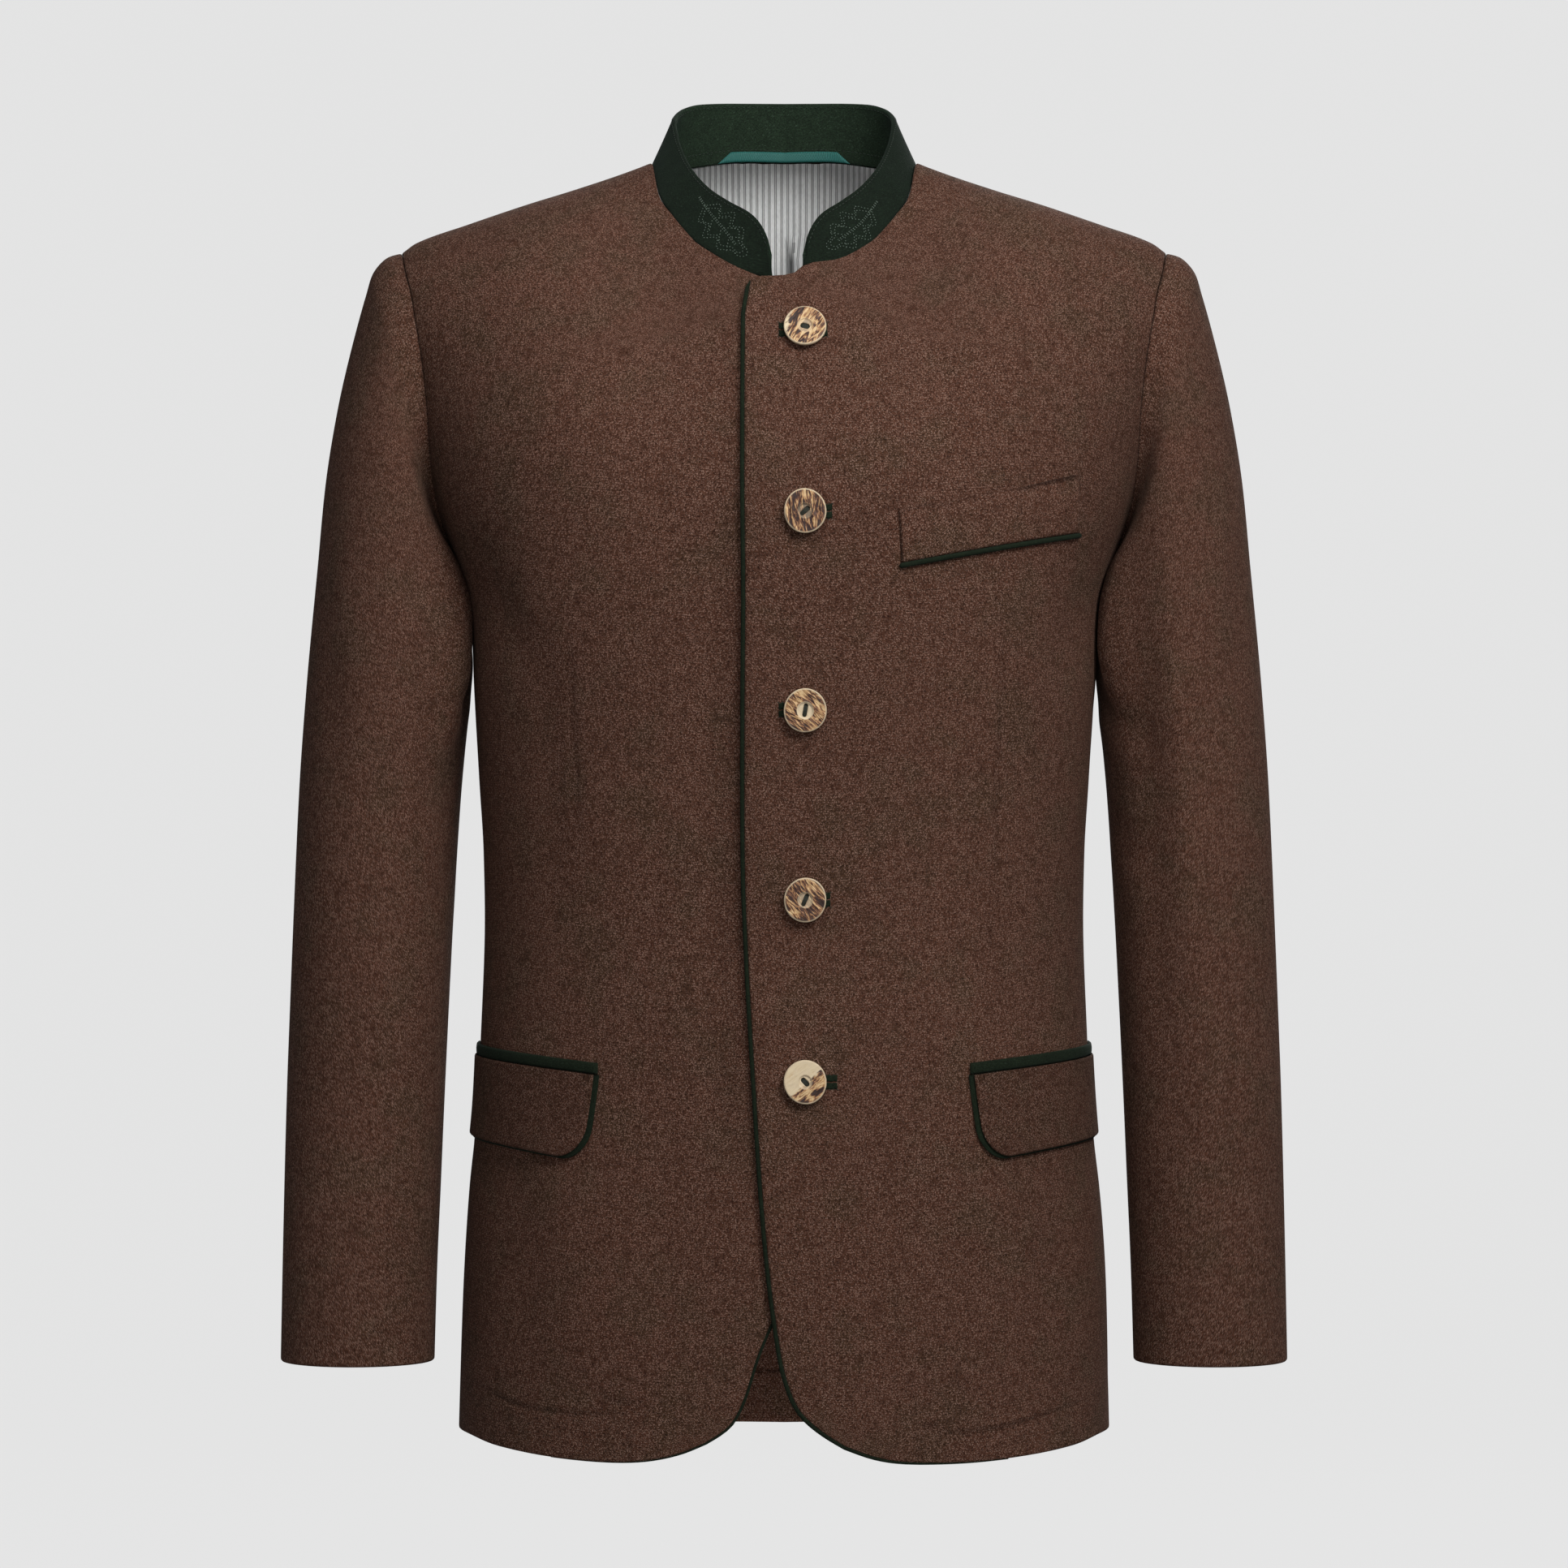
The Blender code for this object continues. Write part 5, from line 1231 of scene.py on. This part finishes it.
def collarPoint(across, height):  # across runs from 0 at the wearer's left front end to 2 at the right one
    across, height = np.broadcast_arrays(np.asarray(across, float), np.asarray(height, float))
    right = across > 1
    share = np.where(right, 2 - across, across)
    start = neckSeam(share.ravel()).reshape(share.shape + (3,))
    top = joined(*[collarTop.read(axis, share) for axis in "xyz"])
    # the seam lies inside the neckline, and the front end runs on down behind the fronts
    toBack = smooth((share - collar["toBack"][0]) / collar["toBack"][1])
    inward = unit(start * np.array([1.0, 1.0, 0.0])) * mix(*collar["inside"], toBack)[..., None]
    fade = 1 - smooth(share / collar["rightDownTo"])
    down = mix(*collar["down"], toBack) + np.where(right, collar["rightDown"] * fade, 0.0)
    ends = collar["endShift"] * (1 - smooth((share - collar["endReach"][0]) / collar["endReach"][1]))
    start = start - inward - joined(ends, 0, down)
    points = mix(start, top, height[..., None])
    points[..., 0] -= np.where(right, collar["rightIn"] * (1 - smooth(share / collar["rightInTo"])), 0.0)
    points[..., 0] *= np.where(right, -1, 1)
    return points


acrossHalf = np.unique(np.concatenate([np.linspace(0.018, 1, collar["columns"]), collar["endColumns"]]))
acrossAll = np.concatenate([acrossHalf, 2 - acrossHalf[-2::-1]])
points = collarPoint(acrossAll[None, :], sharesOf(collar["rows"], collar["edgeRows"])[:, None])
dark, wide = collar["paintedGrooveShade"]
paintedGrooveShade = dark * bell(edgeDistance(points, ("left", "right", "top")) - collar["edgeStitch"], wide)
piece = shell("cloth_collar", points, facingOut(gridNormals(points), points), cloth["collar"], finishes["felt"],
              paintedGrooveShade, ("bottom",), collar["turn"], collar["roll"], collar["insidePaintedLight"])
keep(piece, "felt_green", "collar")


def collarLine(across, fromTop=None, fromSeam=None, outside=True, lift=0.0001):
    # a line on a face of the collar, so far below its top edge or above its seam
    low, high = collarPoint(across, 0.0), collarPoint(across, 1.0)
    tall = np.linalg.norm(high - low, axis=-1)
    height = fromSeam / tall if fromTop is None else 1 - fromTop / tall
    points = collarPoint(across, height)
    around = collarPoint(across + 0.002, height) - collarPoint(across - 0.002, height)
    normals = facingOut(unit(np.cross(around, high - low)), points) * (1 if outside else -1)
    return points + normals * (cloth["collar"] / 2 + lift), normals


stitchRows = {  # stitch length, gap and thread radius
    "collarEdge": (0.0019, 0.0010, 0.00021), "collarBand": (0.0017, 0.0011, 0.00020),
    "leaves": (0.0008, 0.0011, 0.00028), "buttonholes": (0.0016, 0.0006, 0.00018),
    "buttons": (0.0016, -0.0008, 0.00042, 0.15, 0.15),
}
across = np.linspace(*collar["edgeStitchEnds"], 300)
lines = [collarLine(across, collar["edgeStitch"], outside=side) for side in (True, False)]
keep(sew("stitches_collar_edge", lines, finishes["edgeThread"], *stitchRows["collarEdge"]), "felt_green")
lines = [collarLine(np.linspace(*collar["bandSeamEnds"], 200), fromSeam=collar["bandSeam"], outside=False)]
keep(sew("stitches_collar_band", lines, finishes["edgeThread"], *stitchRows["collarBand"]), "felt_green")
print("collar made")

# stitched oak leaves on the collar's front ends
oakLeaves = [  # across, height share, length, width, turn in degrees
    (0.136, 0.44, 0.0412, 0.0235, 185),
    (1.872, 0.48, 0.0445, 0.0230, -14),
]
leafForm = {
    "lobes": 3.5, "lobeDeep": 0.23, "widest": 0.85, "full": 0.6,
    "rows": ((1.0, 1.0), (0.72, 0.88)),     # width and length of each row round it
    "midrib": (-0.70, 0.30), "ribHalf": 0.00045, "ribBend": 0.0008,
    "veins": (-0.20, 0.02, 0.20), "veinLong": 0.10, "veinSpan": (0.06, 0.26),
}


def oakLeaf(length, width):  # two rows round the lobes, a midrib and side veins
    t = np.linspace(0, 1, 220)
    lobes = 1 - leafForm["lobeDeep"] * (1 + np.cos(2 * math.pi * leafForm["lobes"] * t))
    half = width / 2 * np.sin(math.pi * t ** leafForm["widest"]) ** leafForm["full"] * lobes
    lines = []
    for wide, long in leafForm["rows"]:
        along = (t - 0.5) * length * long
        upper, lower = (joined(along, side * wide * half) for side in (1, -1))
        lines.append(np.vstack([upper, lower[::-1]]))
    along = np.linspace(*leafForm["midrib"], 40) * length
    for side in (-leafForm["ribHalf"], leafForm["ribHalf"]):
        lines.append(joined(along, side + leafForm["ribBend"] * np.sin(np.linspace(0, 3, 40))))
    for start in leafForm["veins"]:
        along = np.linspace(start, start + leafForm["veinLong"], 12) * length
        aside = np.linspace(*leafForm["veinSpan"], 12) * width
        lines += [joined(along, sign * aside) for sign in (1, -1)]
    return lines


def onCollar(flatLine, across, height, turn):
    here, step = collarPoint(across, height), 0.004
    alongA = (collarPoint(across + step, height) - here) / step
    alongH = (collarPoint(across, height + step) - here) / step
    east, normal = unit(alongA), unit(np.cross(alongA, alongH))
    offset = flatLine @ turning(turn) @ np.stack([east, unit(np.cross(normal, east))])
    moves = offset @ np.linalg.inv(np.stack([alongA, alongH, normal], axis=1)).T
    a, h = across + moves[:, 0], np.clip(height + moves[:, 1], 0.05, 0.93)
    points = collarPoint(a, h)
    normals = unit(np.cross(collarPoint(a + 0.002, h) - points, collarPoint(a, h + 0.01) - points))
    normals = facingOut(normals, points)
    return points + normals * (cloth["collar"] / 2 + 0.0001), normals


lines = [onCollar(line, across, height, turn)
         for across, height, length, width, turn in oakLeaves for line in oakLeaf(length, width)]
keep(sew("stitches_oak_leaves", lines, finishes["leafThread"], *stitchRows["leaves"]), "felt_green")
print("oak leaves sewn")

# lining and hanger ribbon inside the back
lining = {
    "from": 12 / 25, "columns": (0.05, 0.95), "trim": 0.0004, "gap": 0.0004,
    "pleatX": 0.0040, "pleatWide": 0.0046, "pleatDeep": 0.0026, "pleatStarts": -0.036, "pleatFade": 0.022,
    "foldWide": 0.0010, "foldShade": 1.1, "foldFade": 0.004, "pleatShade": 0.45,
    "rippleDeep": 0.0003, "rippleTurns": 410.0, "rippleAt": 0.008, "rippleTall": 0.012,
}


def backLining():
    rows = np.flatnonzero(vs >= lining["from"] - 1e-9)
    first, last = lining["columns"]
    columns = np.flatnonzero((backUs >= first - 1e-9) & (backUs <= last + 1e-9))
    points, normals = onBody(backPlaces(backUs, vs)[rows][:, columns])
    x, z = points[..., 0], points[..., 2]
    opened = np.clip((lining["pleatStarts"] - z) / lining["pleatFade"], 0.08, 1)
    pleat = bell(x - lining["pleatX"], lining["pleatWide"] * opened) * smooth(opened * 3 - 0.24)
    ripple = np.sin(x * lining["rippleTurns"]) * bell(z - lining["rippleAt"], lining["rippleTall"])
    inward = cloth["loden"] / 2 + cloth["patchGap"] + cloth["thin"] / 2 + lining["gap"]
    points = points - normals * (inward + lining["pleatDeep"] * pleat + lining["rippleDeep"] * ripple)[..., None]
    points = pulledIn(points, ("top",), lining["trim"])
    # painted shade along the pleat's fold and over the opened pleat
    pleatPaintedShade = lining["foldShade"] * bell(x - lining["pleatX"], lining["foldWide"] * opened)
    pleatPaintedShade = pleatPaintedShade * smooth((lining["pleatStarts"] - z) / lining["foldFade"]) + pleat * lining["pleatShade"]
    across = reachAlong(points, 1)
    middle = np.argmin(np.abs(backUs[columns] - 0.5))
    uv = joined(across - across[:, middle:middle + 1], z)  # the stripes run straight up from the middle
    return shell("cloth_back_lining", points, normals, cloth["thin"], finishes["lining"], pleatPaintedShade, uv=uv)


keep(backLining(), "lining_striped", "back_lining")

loop = {"half": (0.159, 0.127), "low": 0.0005, "tall": 0.0062, "thick": 0.0009, "lift": 0.0004, "slack": 0.0006}
share, rise = np.linspace(-1, 1, 61), np.linspace(0, 1, 7)
rows = [collarLine(1 + share * mix(*loop["half"], up), fromSeam=loop["low"] + loop["tall"] * up, outside=False,
                   lift=loop["lift"] + loop["thick"] / 2) for up in rise]
points, normals = (np.stack([row[k] for row in rows]) for k in (0, 1))
points = points + normals * (loop["slack"] * np.sin(math.pi * (share + 1) / 2) ** 0.5)[None, :, None]
keep(shell("ribbon_hanger_loop", points, normals, loop["thick"], finishes["ribbon"]), "loop_teal", "hanger_loop")
print("lining and ribbon made")

# chest pocket
chest = {
    "x": (0.0652, 0.1668), "low": (-0.2375, -0.2180), "tall": (0.0301, 0.0328), "lean": 0.0013, "dip": 0.0016,
    "columns": 44, "rows": 20, "bulge": 0.0005, "frontShadow": 1.2, "pipingWide": 1.1,
    # painted shadow in the mouth: strong where it gapes at its side end, faint at its middle
    "mouth": ([0, 0.05, 0.36, 0.44, 0.60, 0.70, 0.97, 1], [0.3, 0.7, 0.6, 0.1, 0.2, 1.5, 1.7, 0.6]),
}
onCloth = cloth["loden"] / 2 + cloth["patchGap"]


def patch(name, places, side, lift, thickness, finish, lifted, bulge, seams, paintedShade=0.0):
    # a wall laid on a body panel: a grid of places, moved out from the panel's middle
    points, normals, _ = bodyWall(places, side, lifted)
    away = edgeDistance(points, allEdges)
    points = points + normals * (lift + bulge * smooth(away / 0.008))[..., None]
    return shell(name, points, normals, thickness, finish, paintedShade, seams)


us = sharesOf(chest["columns"], [0.006, 0.014, 0.986, 0.994])[None]
ws = sharesOf(chest["rows"], [0.02, 0.05, 0.95, 0.98])[:, None]
x = mix(*chest["x"], us) - chest["lean"] * ws * (1 - us)
height = mix(*chest["low"], us) + mix(*chest["tall"], us) * ws - chest["dip"] * ws * np.sin(math.pi * us)
shadow = np.interp(us, *chest["mouth"]) * smooth((ws - 0.93) / 0.03)
# painted shadow where the front end stands off the cloth
shadow = shadow + chest["frontShadow"] * (us < 0.012) * smooth((0.90 - ws) / 0.15)
piece = patch("cloth_chest_welt", placeOn(x, height), 1, onCloth + cloth["pocket"] / 2, cloth["pocket"],
              finishes["pocket"], True, chest["bulge"], allEdges, shadow)
keep(piece, "loden_brown", "chest_welt")
us = np.linspace(0, 1, 36)
x, low = mix(*chest["x"], us), mix(*chest["low"], us) - cloth["pipingRadius"] - 0.0002
route, normals = onBody(placeOn(x, low))
route = route + normals * (onCloth + cloth["pipingRadius"] * 0.75 + lapLift(x, low))[:, None]
keep(tube("edging_chest", route, cloth["pipingRadius"] * chest["pipingWide"], finishes["edging"]), "felt_green",
     "chest_piping")

# hip pockets
hip = {
    "flapFront": 0.1061, "flapBack": math.radians(94), "weltTop": (-0.5200, -0.5125), "rise": 2.4, "weltTall": 0.0065,
    "weltThick": 1.25, "weltBulge": 0.0004, "weltBeyond": 0.0018, "bodyRadius": 0.16,
    "flapTall": 0.0465, "corner": 0.018, "cornerRound": 0.8, "slant": 0.004, "flare": 0.0012, "flareWave": (3.0, 0.4),
    "shadow": (0.5, 0.002),
    "edgeShows": (0.0026, 0.0012), "columns": 56, "rows": 34,
}


def weltEdge(share):
    return mix(hip["weltTop"][1], hip["weltTop"][0], (1 - share) ** hip["rise"])


def flap(node, side, angles, us, thickness, base, grow, finish):
    down = sharesOf(hip["rows"], np.linspace(0.9, 1, 9), [0.012, 0.03])[::-1, None]
    tall = hip["flapTall"] + grow[1]
    reach = tall * down
    corner = np.clip((reach - (tall - hip["corner"])) / hip["corner"], 0, 1)
    inset = hip["corner"] * (1 - np.sqrt(1 - corner ** 2)) * hip["cornerRound"] + hip["slant"] * down - grow[0]
    level = weltEdge(us) - hip["weltTall"] - cloth["seamGap"] - reach
    places = joined(angles + inset / hip["bodyRadius"] * (1 - us) ** 2, level)
    points, normals, _ = bodyWall(places, side, False)
    wave = np.cos(hip["flareWave"][0] * us + hip["flareWave"][1])
    lift = base + thickness / 2 + hip["flare"] * down ** 2 * (0.5 + 0.5 * wave)
    points = points + normals * lift[..., None]
    shaded = hip["shadow"][0] * bell(edgeDistance(points, ("top",)), hip["shadow"][1])
    return shell("cloth_" + node, points, normals, thickness, finish, shaded, ("right",))


def hipPocket(side, tag):
    start = float(placeOn(hip["flapFront"], hip["weltTop"][0])[0])
    us = sharesOf(hip["columns"], [0.006, 0.013, 0.987, 0.994])[None]
    ws = sharesOf(7, [0.08, 0.92])[:, None]
    angles = mix(start - hip["weltBeyond"] / hip["bodyRadius"], hip["flapBack"], us)
    places = joined(angles, weltEdge(us) - hip["weltTall"] * (1 - ws))
    piece = patch("cloth_pocket_welt_" + tag, places, side, onCloth + cloth["pocket"] / 2,
                  cloth["pocket"] * hip["weltThick"], finishes["edging"], False, hip["weltBulge"], ("bottom",))
    keep(piece, "felt_green", "pocket_welt_" + tag)
    angles = mix(start, hip["flapBack"], us)
    node = "flap_facing_" + tag
    facing = flap(node, side, angles, us, cloth["thin"], onCloth, hip["edgeShows"], finishes["edging"])
    keep(facing, "felt_green", node)
    node, base = "pocket_flap_" + tag, onCloth + cloth["thin"] + cloth["seamGap"]
    keep(flap(node, side, angles, us, cloth["pocket"], base, (0, 0), finishes["flap"]), "loden_brown", node)


hipPocket(1, "left")
hipPocket(-1, "right")
print("pockets made")

# buttons, buttonholes
buttons = {
    "x": 0.0117, "radius": 0.0120, "thick": 0.0048, "wellDeep": 0.0010, "sides": 96, "relief": 0.0004, "oval": 1.045,
    "uneven": (0.010, 0.006),     # how far the rim swells twice and three times round it
    "bareRelief": 0.3,            # what is left of the relief where there is no bark
    "strandHalf": 0.44, "strandsWide": 0.36,    # threads across the slot, in shares of its length and width
    # slot: turn, length, width; streaks: the way they run in degrees; pale: direction, from and to across the top
    "columns": ("height", "slot", "well", "streaks", "pale", "pith", "darker", "shift", "hole"),
    "each": [
        (-0.107, (-15, 0.0054, 0.0033), 0.0041, 58, (172, 0.45, 1.05), 0.45, 0.03, 1.3, (-0.0030, 0.0244)),
        (-0.209, (40, 0.0066, 0.0026), 0.0039, 98, (0, 2.0, 3.0), 0.25, 0.085, 4.1, (0.0010, 0.0268)),
        (-0.320, (80, 0.0074, 0.0025), 0.0044, -38, (130, 0.55, 1.6), 1.0, 0.02, 7.7, (-0.0030, 0.0225)),
        (-0.427, (66, 0.0072, 0.0025), 0.0040, -50, (20, 0.80, 1.8), 0.55, 0.06, 11.9, (0.0010, 0.0258)),
        (-0.530, (-45, 0.0056, 0.0028), 0.0036, 38, (130, -0.25, 0.10), 0.60, 0.0, 15.2, (0.0015, 0.0296)),
    ],
    "grain": ((620, 170, 1.0), (1500, 420, 0.5)),   # noise across and along the streaks, and its share
}
buttonhole = {
    "tall": 0.0080, "thick": 0.0009, "slit": 0.0005, "roll": 0.0006, "waver": (0.00018, 1900), "stitchOut": 0.0003,
}


def slotOutline(length, width, turns):  # where rays at the given turns leave a slot with round ends
    straight = (length - width) / 2
    c, s = np.cos(turns), np.sin(turns)
    reach = 1 / np.maximum(np.abs(c) / (length / 2), np.abs(s) / (width / 2))
    along = c * np.copysign(straight, c)
    atEnd = along + np.sqrt(np.maximum(0.0, along ** 2 - straight ** 2 + (width / 2) ** 2))
    reach = np.where(np.abs(c * reach) > straight, atEnd, reach)
    return joined(c * reach, s * reach)


def hornRings(circle, slot, well):  # the outlines of a button with their heights, from inside the slot round to it
    radius, thick = buttons["radius"], buttons["thick"]
    floor = thick - buttons["wellDeep"]
    rings = [(slot, 0.0), (slot, floor - 0.0003), (slot * 1.02, floor)]
    rings += [(mix(slot * 1.04, circle * (well - 0.0004), k), floor) for k in (0.35, 0.7, 1.0)]
    rings += [(circle * well, thick - 0.0003), (circle * (well + 0.0002), thick)]
    rings += [(circle * r, thick) for r in np.linspace(well + 0.0006, radius - 0.0008, 22)]
    outside = ((0.0005, thick - 0.0001), (0.0002, thick - 0.0003), (0, thick - 0.0010), (0.0006, 0.0020),
               (0.0018, 0.0004), (0.0026, 0.0))
    return rings + [(circle * (radius - inset), z) for inset, z in outside] + [(slot * 1.02, 0.0)]


def hornButton(index, each):
    sides, radius, thick = buttons["sides"], buttons["radius"], buttons["thick"]
    well, shift = each["well"], each["shift"]
    turn, slotLong, slotWide = each["slot"]
    turns = np.linspace(0, 2 * math.pi, sides, endpoint=False)
    slot = slotOutline(slotLong, slotWide, turns - math.radians(turn)) @ turning(turn)
    rings = hornRings(joined(np.cos(turns), np.sin(turns)), slot, well)
    twice, thrice = buttons["uneven"]
    uneven = 1 + twice * np.sin(2 * turns + shift) + thrice * np.sin(3 * turns + 2 * shift)
    run, across = turning(each["streaks"])     # (c, s) and (-s, c)
    paleTurn, paleFrom, paleTo = each["pale"]
    paleWay = turning(paleTurn)[0]
    vertices, flats, cut, bark = [], [], [], []
    for ring, z in rings:
        out = np.linalg.norm(ring, axis=1)
        shaped = ring * np.where(out > well, mix(1.0, uneven, (out - well) / (radius - well)), 1.0)[:, None]
        onTop = (z > thick - 0.0002) & (out > well + 0.0003)
        toRim = smooth((radius - 0.0004 - out) / 0.0006) * smooth((out - well - 0.0001) / 0.0005)
        covered = 1 - np.clip((ring @ paleWay / radius - paleFrom) / (paleTo - paleFrom), 0, 1)
        flat = joined(shaped @ across, shaped @ run)
        relief = sum(
            share * np.array([noise.noise(Vector((u * wide, v * long, shift))) for u, v in flat])
            for wide, long, share in buttons["grain"]
        )
        lift = buttons["relief"] * np.where(onTop, relief, 0.0) * toRim * (buttons["bareRelief"] + covered)
        vertices.append(joined(shaped[:, 0], shaped[:, 1] * buttons["oval"], z + lift))
        flats.append(flat)
        cut.append(np.where(onTop, 1.0 - toRim, 0.85 if out.min() > well + 0.001 else each["pith"]))
        bark.append(covered)
    place = placeOn(buttons["x"], each["height"])
    seat, normal = onBody(place)
    seat = seat + normal * (lap["lift"] + cloth["loden"] / 2 + 2 * cloth["seamGap"])
    east = unit(np.array([1.0, 0, 0]) - normal * normal[0])
    stand = np.stack([east, np.cross(normal, east), normal])
    faces = ringFaces(len(rings), sides, True)[:, [1, 0, 3, 2]].tolist()
    finish = hornFinish("horn_%d" % index, hornLook, shift, each["darker"])
    piece = linkMesh("horn_button_%d" % index, np.vstack(vertices) @ stand + seat, faces, finish, np.vstack(flats))
    mark(piece, "cut", cut)
    mark(piece, "bark", bark)
    keep(piece, "horn", "button_%d" % index)
    strands = []
    for k in (-0.9, -0.45, 0.0, 0.45, 0.9):
        t = np.linspace(0, 1, 9)
        along = mix(-buttons["strandHalf"], buttons["strandHalf"], t) * slotLong
        flat = joined(along, k * slotWide * buttons["strandsWide"]) @ turning(turn)
        rise = thick - buttons["wellDeep"] - 0.0014 + 0.0009 * np.sin(math.pi * t)
        strands.append((np.column_stack([flat, rise]) @ stand + seat, np.tile(normal, (len(t), 1))))
    return strands


def onLeftFront(x, z, lift):
    points, normals = onBody(placeOn(x, z))
    return points + normals * (lapLift(x, z) + cloth["loden"] / 2 + lift)[..., None], normals


threads, holes = [], []
everyButton = [dict(zip(buttons["columns"], values)) for values in buttons["each"]]
for index, each in enumerate(everyButton, 1):
    threads += hornButton(index, each)
rows = np.linspace(0, 1, 9)[:, None]
half, slit = buttonhole["tall"] / 2, buttonhole["slit"] / 2
dome = buttonhole["thick"] * (0.15 + 0.85 * np.sqrt(1 - (2 * rows - 1) ** 4))
for index, each in enumerate(everyButton, 1):
    start, end = each["hole"]
    x = mix(start, end, sharesOf(30, [0.012, 0.03, 0.97, 0.988])[None]) + 0 * rows
    waver = buttonhole["waver"][0] * np.sin(x * buttonhole["waver"][1] + index)
    for number, (low, high) in enumerate(((-half, -slit), (slit, half)), 2 * index - 2):
        z = each["height"] + mix(low, high, rows) + waver
        points, normals = onLeftFront(x, z, dome / 2 - 0.0002)
        piece = shell("edging_buttonhole_%02d" % number, points, normals, buttonhole["thick"], finishes["edging"],
                      roll=buttonhole["roll"])
        keep(piece, "felt_green")
    x = np.linspace(start - 0.0002, end + 0.0002, 50)
    for z in (half + buttonhole["stitchOut"], -half - buttonhole["stitchOut"]):
        holes.append(onLeftFront(x, each["height"] + z + 0 * x, 0 * x + 0.0001))
keep(sew("threads_of_buttons", threads, finishes["buttonThread"], *stitchRows["buttons"]), "felt_green")
keep(sew("stitches_buttonholes", holes, finishes["edgeThread"], *stitchRows["buttonholes"]), "felt_green")
print("buttons and buttonholes made")

# floor, light and camera
studio = {
    "grey": (0.768, 0.768, 0.768), "floor": -1.20, "radius": 8.5, "bend": 3.0, "wall": 9.0,
    "camera": (0.0, -3.5, -0.362), "lens": 137.3, "air": (0.92, 0.94, 1.0), "airStrength": 0.19,
    "base": (0.02, 0.02, 0.02), "shine": {"Specular IOR Level": 0.0, "Emission Strength": 1.0},
}
lights = {  # place, target, size, watts
    "light_key": ((1.1, -1.9, 1.15), (0.05, 0, -0.2), (0.9, 0.9), 45),
    "light_front": ((-0.2, -4.3, 0.0), (0, 0, -0.36), (2.0, 1.4), 22),
    "light_neck": ((0.0, -0.75, 0.55), (0.0, 0.06, -0.02), (0.3, 0.3), 3.1),
    "light_low": ((0.3, -3.9, -1.7), (0, 0, -0.6), (1.2, 0.8), 9),
    "light_rear": ((0.5, 3.6, 1.3), (0, 0, -0.35), (2.4, 1.8), 78),
}


def studioBowl():
    turns = np.linspace(0, 2 * math.pi, 97)[:-1]
    up = np.linspace(0, math.pi / 2, 17)
    r = np.concatenate([[2.0], studio["radius"] - studio["bend"] * (1 - np.sin(up)), [studio["radius"]]])
    z = studio["floor"] + np.concatenate([[0.0], studio["bend"] * (1 - np.cos(up)), [studio["wall"]]])
    rings = joined(r[:, None] * np.cos(turns), r[:, None] * np.sin(turns), z[:, None])
    vertices = np.vstack([[(0, 0, studio["floor"])], rings.reshape(-1, 3)])
    count = len(turns)
    faces = [(0, 1 + k, 1 + (k + 1) % count) for k in range(count)]
    faces += (1 + ringFaces(len(r), count)[:, [0, 3, 2, 1]]).tolist()
    book = FinishBook("studio_grey")
    wash = book.noise(book.place(), 3.0, 1.0)
    book.feed(book.shader.inputs["Emission Color"], book.shade(studio["grey"], 1.0 + (wash - 0.5) * 0.01))
    bowl = linkMesh("studio_floor", vertices, faces, book.finish(studio, studio["base"], 1.0))
    bowl.visible_diffuse = bowl.visible_glossy = bowl.visible_shadow = False


studioBowl()
for name, (place, target, size, watts) in lights.items():
    data = bpy.data.lights.new(name, "AREA")
    data.shape = "RECTANGLE"
    data.size, data.size_y = size
    data.energy = watts
    lamp = link(name, data)
    lamp.location = place
    lamp.rotation_euler = (Vector(target) - Vector(place)).to_track_quat("-Z", "Y").to_euler()
    lamp.visible_camera = False
scene = bpy.context.scene
scene.world = bpy.data.worlds.new("studio_air")
scene.world.use_nodes = True
air = scene.world.node_tree.nodes["Background"].inputs
air["Color"].default_value = (*studio["air"], 1)
air["Strength"].default_value = studio["airStrength"]
scene.view_settings.view_transform = "Standard"

view = bpy.data.cameras.new("camera")
view.lens = studio["lens"]
view.sensor_width = 36
view.sensor_fit = "HORIZONTAL"
view.clip_end = 60
scene.camera = link("camera", view)
scene.camera.location = studio["camera"]
scene.camera.rotation_euler = (math.pi / 2, 0, 0)
